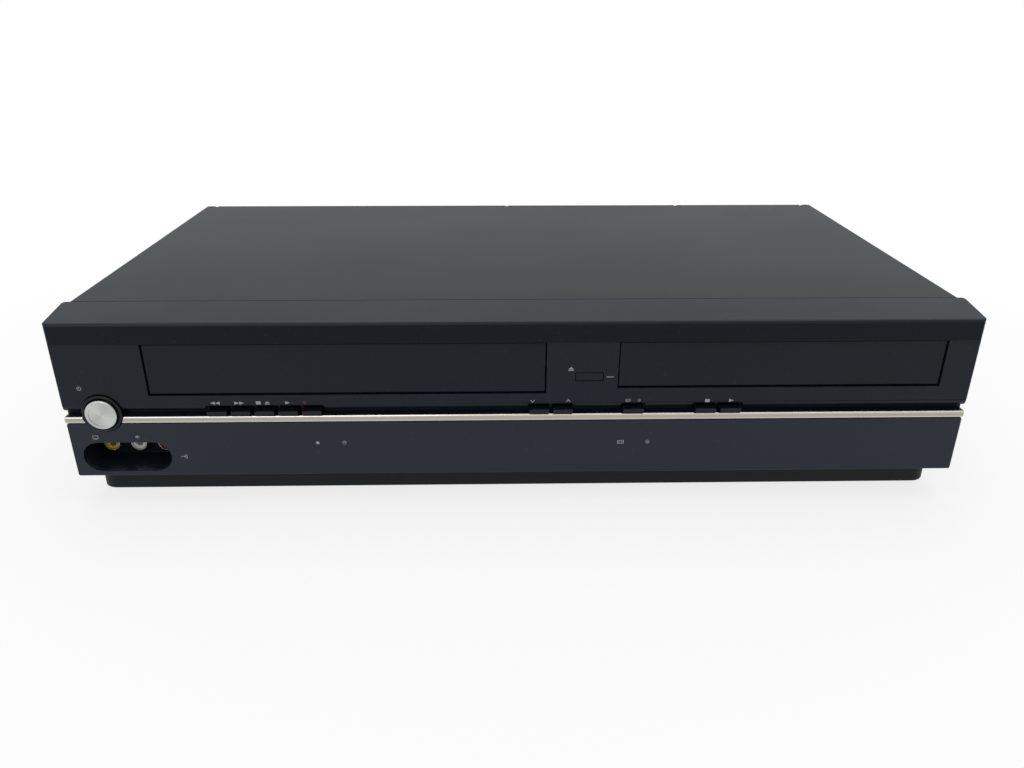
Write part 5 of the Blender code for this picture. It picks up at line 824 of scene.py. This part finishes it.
class RECORDER_OT_sockets(RecorderOperator):
    """Make the front and rear phono sockets, the aerial terminals and the lead's bush"""

    bl_idname = "recorder.sockets"
    bl_label = "Sockets"

    def build(self, scene):
        case = scene.recorder_case
        for name, colour in (("video", "yellow"), ("audio_left", "white"), ("audio_right", "dark_red")):
            self.front_socket("front_" + name + "_jack", colour, case.steps // 2)
        self.rear_sockets(case.steps // 2)
        self.aerials(case.steps // 2)
        dressed("mains_gland", "rubber_black", case.edge_round)

    def front_socket(self, node, colour, steps):
        """A metal sleeve round a coloured insulator, on a dark body behind the pocket."""
        low, high, middle = measures(node)
        body_radius = (high.x - low.x) / 2
        pocket_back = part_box("jack_pocket")[1].y
        sleeve = body_radius * 0.727
        wall = sleeve * 0.16
        place = (middle.x, low.y + sleeve * 0.7, middle.z)
        behind = pocket_back - place[1]
        tube = turned([(sleeve - wall, -wall), (sleeve - wall * 0.7, 0), (sleeve - wall * 0.3, 0),
                       (sleeve, -wall * 0.5), (sleeve, -behind), (sleeve - wall, -behind),
                       (sleeve - wall, -wall)], steps, True)
        soften(stand(tube, place, "front"))
        settle(tube, node + "_sleeve", "nickel", "case")
        core = sleeve - wall * 1.1
        hole = sleeve * 0.42
        insulator = turned([(hole, -wall * 3), (hole, -wall * 1.2), (hole + wall / 2, -wall * 0.7),
                            (core - wall / 2, -wall * 0.7), (core, -wall * 1.2), (core, -behind * 0.9),
                            (hole, -behind * 0.9), (hole, -wall * 3)], steps, True)
        soften(stand(insulator, place, "front"))
        settle(insulator, node + "_insulator", "jack_" + colour, "case")
        depth = high.y - place[1]
        start = behind + wall / 2
        holder = turned([(hole, -start), (body_radius - wall, -start), (body_radius, -start - wall),
                         (body_radius, -depth + wall), (body_radius - wall, -depth), (hole, -depth)], steps)
        soften(stand(holder, place, "front"))
        settle(holder, node + "_holder", "dark_grey", "case")
        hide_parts(node)

    def rear_sockets(self, steps):
        """Two rows of six sockets: coloured collar, metal sleeve and a core of the collar's colour."""
        low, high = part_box("rear_av_jacks")
        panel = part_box("rear_panel")[1].y
        pitch = (high.x - low.x) / 6
        sleeve, wall = pitch * 0.31, pitch * 0.045
        reach = high.y - panel
        collar = turned([(sleeve + wall / 4, wall / 4), (pitch * 0.44, wall / 4), (pitch * 0.44, wall * 2),
                         (pitch * 0.42, wall * 2.5), (sleeve + wall, wall * 2.5),
                         (sleeve + wall / 4, wall * 2), (sleeve + wall / 4, wall / 4)], steps, True)
        tube = turned([(sleeve - wall, -wall), (sleeve, -wall), (sleeve, reach - wall * 0.6),
                       (sleeve - wall * 0.3, reach), (sleeve - wall * 0.8, reach),
                       (sleeve - wall, reach - wall * 0.5), (sleeve - wall, -wall)], steps, True)
        hole, skin = sleeve * 0.38, sleeve - wall * 1.1
        core = turned([(hole, reach * 0.2), (skin, reach * 0.2), (skin, reach - wall * 1.6),
                       (sleeve - wall * 1.5, reach - wall), (hole + wall / 2, reach - wall),
                       (hole, reach - wall * 1.4), (hole, reach * 0.2)], steps, True)
        for piece in (collar, tube, core):
            soften(piece)
        for row, colours in enumerate(REAR_SOCKETS):
            for column, colour in enumerate(colours):
                place = (low.x + pitch * (column + 0.5), panel, high.z - pitch * (row + 0.5))
                tag = "rear_socket_%d_%d" % (row + 1, column + 1)
                for model, name, finish in ((collar, "_collar", "jack_" + colour),
                                            (tube, "_sleeve", "nickel"), (core, "_core", "jack_" + colour)):
                    piece = stand(copy_of(model), place, "back")
                    settle(piece, tag + name, finish, "case")
        for model in (collar, tube, core):
            remove(model)
        self.socket_block(low, high, pitch, sleeve)

    def socket_block(self, low, high, pitch, sleeve):
        """The moulded block behind the sheet: a soft-edged box with a raised ring round every socket."""
        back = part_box("rear_panel")[0].y
        gap = (high.z - low.z) / 100
        block = box_piece(low, (high.x, back - gap, high.z))
        apply_modifier(block, "BEVEL", width=gap, segments=2, limit_method="ANGLE")
        rings = [block]
        for row in range(2):
            for column in range(6):
                ring = turned([(sleeve * 0.3, -gap), (sleeve * 0.97, -gap), (sleeve * 0.97, gap * 0.4),
                               (sleeve * 0.9, gap * 0.6), (sleeve * 0.3, gap * 0.6)], 24)
                place = (low.x + pitch * (column + 0.5), back - gap, high.z - pitch * (row + 0.5))
                rings.append(stand(ring, place, "back"))
        piece = join(rings)
        soften(piece)
        settle(piece, "rear_socket_block", "dark_grey", "case")
        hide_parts("rear_av_jacks")

    def aerials(self, steps):
        """Two screwed aerial terminals on a screened box."""
        low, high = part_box("rf_terminal")
        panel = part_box("rear_panel")[1].y
        reach = high.y - panel
        radius = AERIAL_RADIUS
        turns, rings = 7, []
        for turn in range(turns):
            start = reach * 0.12 + reach * 0.78 * turn / turns
            rings += [(radius * 0.94, start), (radius, start + reach * 0.03), (radius, start + reach * 0.055),
                      (radius * 0.94, start + reach * 0.085)]
        hole = radius * 0.25
        profile = ([(hole, -radius / 3), (radius * 0.94, -radius / 3)] + rings
                   + [(radius * 0.88, reach), (radius * 0.72, reach), (radius * 0.70, reach * 0.85),
                      (hole * 1.4, reach * 0.85), (hole, reach * 0.8), (hole, -radius / 3)])
        model = turned(profile, steps, True)
        soften(model, TOOTH)
        for index, share in enumerate((0.27, 0.73)):
            place = (low.x + (high.x - low.x) * share, panel, (low.z + high.z) / 2)
            piece = stand(copy_of(model), place, "back")
            settle(piece, "aerial_terminal_%d" % (index + 1), "nickel", "case")
        remove(model)
        dressed("rf_terminal", "zinc_plate", radius / 60, 1)


class RECORDER_OT_symbols(RecorderOperator):
    """Print the plain transport symbols, the standby mark and the small lights' places"""

    bl_idname = "recorder.symbols"
    bl_label = "Symbols"

    def build(self, scene):
        ink = scene.recorder_print
        self.thickness = ink.thickness
        self.size = ink.height
        self.wide = ink.width_share
        self.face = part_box("open_close_button")[0].y - self.thickness * 5
        size = self.size
        gap = size * self.wide
        block = self.bar(0, 0, gap, size * 0.95)
        self.print("rewind_symbol", self.triangle(-1, -gap / 2) + self.triangle(-1, gap / 2))
        self.print("forward_symbol", self.triangle(1, -gap / 2) + self.triangle(1, gap / 2))
        self.print("stop_symbol", block)
        self.print("eject_symbol", self.eject())
        self.print("play_symbol", self.triangle(1, 0))
        self.print("record_symbol", self.disc(), "ink_red")
        self.print("down_symbol", self.chevron(-1))
        self.print("up_symbol", self.chevron(1))
        self.print("source_tape_symbol", self.cassette(0.8))
        self.print("source_disc_symbol", self.platter(0.8))
        self.print("disc_stop_symbol", block)
        self.print("disc_play_symbol", self.triangle(1, 0))
        self.print("tray_eject_symbol", self.eject(1.15))
        self.print("tray_light", self.bar(0, 0, size * 2, size / 3.5), "light_pipe")
        self.print("standby_symbol", self.standby())
        self.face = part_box("lower_panel")[0].y
        self.print("record_light", self.disc())
        self.print("timer_light", self.clock(1.1))
        self.print("tape_light", self.cassette(1.1))
        self.print("disc_light", self.platter(1.1))
        jacks = [centre_of("front_%s_jack" % name).x for name in ("video", "audio_left", "audio_right")]
        pocket_high, pocket_middle = measures("jack_pocket")[1:]
        label = pocket_high.z + size * 1.2
        self.print("picture_symbol", self.screen(1.2), place=(jacks[0], label))
        self.print("sound_symbol", self.speaker(1.2), place=((jacks[1] + jacks[2]) / 2, label))
        self.print("input_symbol", self.arrow_in(1.2), place=(pocket_high.x + size * 3, pocket_middle.z))

    def triangle(self, way, shift):
        """A play triangle that points right or left."""
        half = self.size / 2
        reach = half * self.wide * way
        corners = [(-reach, -half), (reach, 0), (-reach, half)]
        if way < 0:
            corners.reverse()
        return [[(x + shift, y) for x, y in corners]]

    def bar(self, x, y, width, height):
        """An upright rectangle about a point."""
        return [[(x - width / 2, y - height / 2), (x + width / 2, y - height / 2),
                 (x + width / 2, y + height / 2), (x - width / 2, y + height / 2)]]

    def band(self, x, y, outer, inner, start, stop):
        """A stretch of a ring, from one angle to another."""
        angles = [math.radians(start + (stop - start) * step / 16) for step in range(17)]
        return [[(x + outer * math.cos(angle), y + outer * math.sin(angle)) for angle in angles]
                + [(x + inner * math.cos(angle), y + inner * math.sin(angle)) for angle in reversed(angles)]]

    def ring(self, x, y, outer, inner):
        return self.band(x, y, outer, inner, 0, 180) + self.band(x, y, outer, inner, 180, 360)

    def frame(self, width, height, stroke):
        """The four sides of a rectangle."""
        across, up = (width - stroke) / 2, (height - stroke) / 2
        return (self.bar(0, up, width, stroke) + self.bar(0, -up, width, stroke)
                + self.bar(across, 0, stroke, height - 2 * stroke)
                + self.bar(-across, 0, stroke, height - 2 * stroke))

    def eject(self, scale=1.0):
        """A triangle over a bar."""
        half = self.size * 0.5 * scale
        reach = half * self.wide
        return ([[(-reach, -half * 0.25), (reach, -half * 0.25), (0, half)]]
                + self.bar(0, -half * 0.78, reach * 2, half * 0.45))

    def disc(self):
        """A filled round mark."""
        radius = self.size * 0.5
        return [[(radius * math.cos(angle), radius * math.sin(angle))
                 for angle in (math.pi * step / 12 for step in range(24))]]

    def chevron(self, way):
        """An open arrow head that points up or down."""
        half = self.size * 0.5
        reach, stroke = half * self.wide, half * 0.55
        corners = [(-reach, -half * 0.6 * way), (-reach + stroke, -half * 0.6 * way), (0, half * 0.35 * way),
                   (reach - stroke, -half * 0.6 * way), (reach, -half * 0.6 * way), (0, half * way)]
        return [corners if way < 0 else corners[::-1]]

    def standby(self):
        """A broken ring with a bar through its gap."""
        size = self.size
        return (self.band(0, 0, size * 0.62, size * 0.44, 125, 415)
                + self.bar(0, size * 0.35, size * 0.18, size * 0.7))

    def cassette(self, scale):
        """A case with two reels."""
        size = self.size * scale
        return (self.frame(size * 1.7, size, size * 0.14)
                + self.ring(-size * 0.38, 0, size * 0.22, size * 0.10)
                + self.ring(size * 0.38, 0, size * 0.22, size * 0.10))

    def platter(self, scale):
        """A disc with its middle hole."""
        size = self.size * scale
        return self.ring(0, 0, size * 0.52, size * 0.40) + self.ring(0, 0, size * 0.20, size * 0.09)

    def clock(self, scale):
        """A dial with two hands."""
        size = self.size * scale
        return (self.ring(0, 0, size * 0.52, size * 0.40) + self.bar(0, size * 0.13, size * 0.10, size * 0.36)
                + self.bar(size * 0.16, 0, size * 0.22, size * 0.10))

    def screen(self, scale):
        """A television's outline on its foot."""
        size = self.size * scale
        return (self.frame(size * 1.3, size * 0.9, size * 0.14)
                + self.bar(0, -size * 0.58, size * 0.6, size * 0.12))

    def speaker(self, scale):
        """A loudspeaker with one wave."""
        size = self.size * scale
        horn = [(-size * 0.5, -size * 0.18), (-size * 0.25, -size * 0.18), (size * 0.05, -size * 0.45),
                (size * 0.05, size * 0.45), (-size * 0.25, size * 0.18), (-size * 0.5, size * 0.18)]
        return [horn] + self.band(0, 0, size * 0.42, size * 0.30, -45, 45)

    def arrow_in(self, scale):
        """An arrow that points into a bracket."""
        size = self.size * scale
        head = [(0, -size * 0.3), (size * 0.35, 0), (0, size * 0.3)]
        return ([head] + self.bar(-size * 0.45, 0, size * 0.9, size * 0.14)
                + self.bar(size * 0.62, 0, size * 0.14, size)
                + self.bar(size * 0.35, size * 0.43, size * 0.4, size * 0.14)
                + self.bar(size * 0.35, -size * 0.43, size * 0.4, size * 0.14))

    def print(self, name, outlines, finish="ink_grey", place=None):
        """Lay outlines on the moulding as a thin layer of ink."""
        x, z = place or MARK_PLACES[name]
        pieces = [plate(outline, self.thickness, self.thickness / 4) for outline in outlines]
        piece = stand(join(pieces), (x, self.face, z), "front")
        settle(piece, name, finish, "case")


class RECORDER_OT_screws(RecorderOperator):
    """Fit the screws of the cover, the rear sheet and the base"""

    bl_idname = "recorder.screws"
    bl_label = "Screws"

    def build(self, scene):
        case = scene.recorder_case
        radius, rise = case.screw_radius, case.screw_rise
        model = self.screw(radius, rise, case.steps // 2)
        cover_low, cover_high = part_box("top_cover")
        base_low, base_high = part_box("base_chassis")
        panel_low, panel_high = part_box("rear_panel")
        places = []
        tab = cover_high.y - panel_high.y - rise / 4
        span = cover_high.y - cover_low.y
        for share in (0.12, 0.90):
            y = cover_low.y + span * share
            z = cover_low.z + 3 * radius
            places += [("left", (cover_low.x + rise * 0.5, y, z)),
                       ("right", (cover_high.x - rise * 0.5, y, z))]
        top = panel_high.z - 3 * radius
        foot = panel_low.z + 2.6 * radius
        for height, shares in ((top, (0.02, 0.35, 0.66, 0.98)), (foot, (0.04, 0.62, 0.83))):
            for share in shares:
                x = panel_low.x + (panel_high.x - panel_low.x) * share
                places.append(("back", (x, panel_high.y, height)))
        for x_share in (0.16, 0.84):
            for y_share in (0.32, 0.68):
                places.append(("under", (base_low.x + (base_high.x - base_low.x) * x_share,
                                         base_low.y + (base_high.y - base_low.y) * y_share, base_low.z)))
        for index, share in enumerate(NOTCH_SHARES):
            x = base_high.x * share
            places.append(("top", (x, panel_high.y + tab / 2 - rise / 4, panel_high.z)))
            corner = tab * 0.9
            piece = box_piece((x - corner, panel_high.y + MERGE, panel_high.z - rise / 2),
                              (x + corner, panel_high.y + tab, panel_high.z))
            round_edges(piece, case.sheet_round)
            settle(piece, "cover_tab_%d" % (index + 1), "cover_paint", "case")
        for index, (side, place) in enumerate(places):
            piece = stand(copy_of(model), place, side)
            settle(piece, "screw_%02d" % (index + 1), "screw_black", "case")
        remove(model)

    def screw(self, radius, rise, steps):
        """A pan head with a cross recess, standing on z = 0."""
        head = [(radius, 0), (radius, rise * 0.45), (radius * 0.93, rise * 0.75),
                (radius * 0.78, rise * 0.93), (radius * 0.55, rise), (radius * 0.2, rise)]
        piece = turned(head, steps)
        arm, slot = radius * 0.55, radius * 0.13
        for along, across in ((arm, slot), (slot, arm)):
            cutter = box_piece((-along, -across, rise * 0.35), (along, across, rise * 2))
            apply_modifier(piece, "BOOLEAN", object=cutter, operation="DIFFERENCE", solver="EXACT")
            remove(cutter)
        soften(piece)
        return piece


class RECORDER_OT_tape_deck(RecorderOperator):
    """Finish the cassette carriage, the deck and its turning parts"""

    bl_idname = "recorder.tape_deck"
    bl_label = "Tape deck"

    def build(self, scene):
        case = scene.recorder_case
        sheet = case.sheet_round
        for node in ("cassette_holder", "carriage_slider", "carriage_housing", "deck_chassis", "pinch_arm"):
            dressed(node, "zinc_plate", sheet, 1)
        for node in ("supply_reel_table", "takeup_reel_table"):
            dressed(node, "white_acetal", case.edge_round)
        dressed("head_drum_lower", "drum_metal", sheet)
        dressed("head_drum_upper", "drum_metal", sheet)
        dressed("capstan_flywheel", "ground_steel", sheet)
        dressed("pinch_roller", "rubber_black", sheet)
        dressed("front_board", "green_board", sheet, 1)
        dressed("main_board", "green_board", sheet, 1)
        dressed("power_supply", "brown_board", sheet, 1)


class RECORDER_OT_disc_loader(RecorderOperator):
    """Finish the disc tray, its loader, the pickup and the clamp"""

    bl_idname = "recorder.disc_loader"
    bl_label = "Disc loader"

    def build(self, scene):
        case = scene.recorder_case
        edge, sheet = case.edge_round, case.sheet_round
        dressed("disc_tray", "loader_black", edge * 0.6)
        dressed("loader_frame", "loader_black", edge, 1)
        dressed("traverse_frame", "zinc_plate", sheet, 1)
        dressed("clamp_bridge", "zinc_plate", sheet, 1)
        dressed("clamp_puck", "dark_grey", edge)
        dressed("disc_turntable", "dark_grey", edge)
        dressed("optical_pickup", "dark_grey", edge)
        dressed("tray_drive_gear", "white_acetal", sheet / 2, 1)
        dressed("loader_motor", "ground_steel", edge)
        for node in ("pickup_rod_left", "pickup_rod_right", "pickup_lead_screw"):
            self.rod(node, case.steps // 2)
        self.seat_ring(case.steps)
        self.lens(case.steps // 2)

    def rod(self, node, steps):
        """A ground rod with chamfered ends; the feed screw gets its thread."""
        low, high, middle = measures(node)
        length = high.y - low.y
        radius, pitch = ROD_RADIUS, SCREW_PITCH
        profile = [(radius * 0.8, 0), (radius, radius * 0.2)]
        if node == "pickup_lead_screw":
            collar = (high.x - low.x) / 2
            position = 4 * pitch
            profile += [(radius, pitch * 1.1), (collar, pitch * 1.1), (collar, pitch * 1.7),
                        (radius, pitch * 1.7)]
            while position < length - 2 * pitch:
                profile += [(radius, position), (radius * 0.8, position + pitch * 0.1),
                            (radius * 0.8, position + pitch * 0.2), (radius, position + pitch * 0.3)]
                position += pitch / 2
        profile += [(radius, length - radius * 0.2), (radius * 0.8, length)]
        piece = stand(turned(profile, steps), (middle.x, low.y, middle.z), "back")
        soften(piece, TOOTH)
        settle(piece, node + "_ground", "ground_steel", BODY_OF[node])
        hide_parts(node)

    def seat_ring(self, steps):
        """The soft ring on the platter that grips a disc."""
        low, high, middle = measures("disc_turntable")
        radius = (high.x - low.x) / 2
        platter = high.z - HUB_RISE
        rise = (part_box("clamp_puck")[0].z - platter) * 0.05
        ring = turned([(radius * 0.66, 0), (radius * 0.97, 0), (radius * 0.97, rise),
                       (radius * 0.93, rise * 1.5), (radius * 0.70, rise * 1.5), (radius * 0.66, rise),
                       (radius * 0.66, 0)], steps, True)
        stand(ring, (middle.x, middle.y, platter))
        soften(ring)
        settle(ring, "turntable_seat_ring", "rubber_black", "spindle")

    def lens(self, steps):
        """The pickup's lens, a small coated dome."""
        low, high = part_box("optical_pickup")
        place = (centre_of("disc_turntable").x, low.y + (high.y - low.y) / 3, high.z - LENS_SINK)
        radius = LENS_RADIUS
        profile = [(radius * math.cos(angle), radius * 0.30 * math.sin(angle))
                   for angle in (math.pi / 2 * step / 8 for step in range(8))]
        dome = stand(turned(profile, steps), place)
        soften(dome)
        settle(dome, "pickup_lens", "lens_glass", "pickup")


class RECORDER_OT_stage(RecorderOperator):
    """Lay the floor, hang the lights and stand the camera"""

    bl_idname = "recorder.stage"
    bl_label = "Stage"

    def build(self, scene):
        stage = scene.recorder_stage
        scene.view_settings.view_transform = "Standard"
        self.world(scene, stage)
        self.floor(stage)
        self.lamp("overhead_light", stage.key_power, OVERHEAD_PLACE, OVERHEAD_SIZE)
        self.lamp("front_light", stage.fill_power, FRONT_PLACE, FRONT_SIZE)
        self.camera(scene, stage)

    def world(self, scene, stage):
        """Even light for the surfaces, and plain white wherever the eye or a reflection looks."""
        world = bpy.data.worlds.new("studio")
        world.use_nodes = True
        scene.world = world
        nodes, links = world.node_tree.nodes, world.node_tree.links
        background = nodes["Background"]
        strength = nodes.new("ShaderNodeMapRange")
        links.new(seen_rays(world.node_tree), strength.inputs["Value"])
        strength.inputs["To Min"].default_value = stage.room
        links.new(strength.outputs[0], background.inputs["Strength"])
        background.inputs["Color"].default_value = (1.0, 1.0, 1.0, 1.0)

    def floor(self, stage):
        """A pale floor that reads as white to the eye and keeps the soft shadow."""
        bpy.ops.object.select_all(action="DESELECT")
        bpy.ops.mesh.primitive_plane_add(size=12, location=(0, 0, 0))
        floor = bpy.context.object
        begin_edit(floor)
        bpy.ops.mesh.subdivide(number_cuts=8)
        end_edit()
        floor.name = "studio_floor"
        look = Finish("floor_paper")
        fibre = look.noise(look.place(), 0.004, 3.0)
        look.set(Base_Color=look.mix(fibre, shade(stage.floor, 0.98), tuple(stage.floor)), Roughness=0.9,
                 Specular_IOR_Level=0.0)
        tree = look.tree
        white = tree.nodes.new("ShaderNodeEmission")
        blend = tree.nodes.new("ShaderNodeMixShader")
        spot = look.place()
        across, along = spot.part("X"), spot.part("Y")
        far = look.ramp((across * across + along * along) ** 0.5,
                        ((stage.shadow_reach / 2, 0.0), (stage.shadow_reach, 1.0)))
        share = (1 - far) * stage.floor_white + far
        tree.links.new((Varying(look, seen_rays(tree)) * share).socket, blend.inputs[0])
        tree.links.new(look.shader.outputs[0], blend.inputs[1])
        tree.links.new(white.outputs[0], blend.inputs[2])
        tree.links.new(blend.outputs[0], tree.nodes["Material Output"].inputs["Surface"])
        floor.data.materials.append(look.material)

    def lamp(self, name, power, place, size):
        """A large soft lamp that looks at the recorder."""
        data = bpy.data.lights.new(name, "AREA")
        data.shape = "RECTANGLE"
        data.size, data.size_y = size
        data.energy = power
        lamp = bpy.data.objects.new(name, data)
        bpy.context.scene.collection.objects.link(lamp)
        lamp.location = place
        lamp.rotation_euler = (Vector(LAMP_TARGET) - Vector(place)).to_track_quat("-Z", "Y").to_euler()

    def camera(self, scene, stage):
        """The camera at the height and distance that the recorder is seen from."""
        data = bpy.data.cameras.new("front_camera")
        data.lens = stage.lens
        data.sensor_width = 36
        data.clip_start = 0.01
        camera = bpy.data.objects.new("front_camera", data)
        scene.collection.objects.link(camera)
        turn = (Matrix.Rotation(-stage.camera_yaw, 4, "Z")
                @ Matrix.Rotation(math.pi / 2 - stage.camera_pitch, 4, "X")
                @ Matrix.Rotation(stage.camera_roll, 4, "Z"))
        camera.matrix_world = Matrix.Translation(Vector(stage.camera_place)) @ turn
        scene.camera = camera


class RECORDER_PT_panel(bpy.types.Panel):
    """The recorder's settings and building steps"""

    bl_idname = "RECORDER_PT_panel"
    bl_label = "Disc and Cassette Recorder"
    bl_space_type = "VIEW_3D"
    bl_region_type = "UI"
    bl_category = "Recorder"

    def draw(self, context):
        layout = self.layout
        for name in GROUPS:
            box = layout.box()
            settings = getattr(context.scene, name)
            for field in settings.__annotations__:
                box.prop(settings, field)
        for operator in STEPS:
            layout.operator(operator.bl_idname)


GROUPS = {"recorder_case": CaseSettings, "recorder_print": PrintSettings,
          "recorder_colours": ColourSettings, "recorder_stage": StageSettings}
STEPS = (RECORDER_OT_finishes, RECORDER_OT_case, RECORDER_OT_front, RECORDER_OT_power_button,
         RECORDER_OT_keys, RECORDER_OT_sockets, RECORDER_OT_symbols, RECORDER_OT_screws,
         RECORDER_OT_tape_deck, RECORDER_OT_disc_loader, RECORDER_OT_stage)
CLASSES = (*GROUPS.values(), *STEPS, RECORDER_PT_panel)


def register():
    for item in CLASSES:
        bpy.utils.register_class(item)
    for name, group in GROUPS.items():
        setattr(bpy.types.Scene, name, PointerProperty(type=group))


def unregister():
    for name in GROUPS:
        delattr(bpy.types.Scene, name)
    for item in reversed(CLASSES):
        bpy.utils.unregister_class(item)


def main():
    """Register the add-on and build every piece in order."""
    register()
    bpy.ops.recorder.finishes()
    bpy.ops.recorder.case()
    bpy.ops.recorder.front()
    bpy.ops.recorder.power_button()
    bpy.ops.recorder.keys()
    bpy.ops.recorder.sockets()
    bpy.ops.recorder.symbols()
    bpy.ops.recorder.screws()
    bpy.ops.recorder.tape_deck()
    bpy.ops.recorder.disc_loader()
    bpy.ops.recorder.stage()


if __name__ == "__main__":
    main()
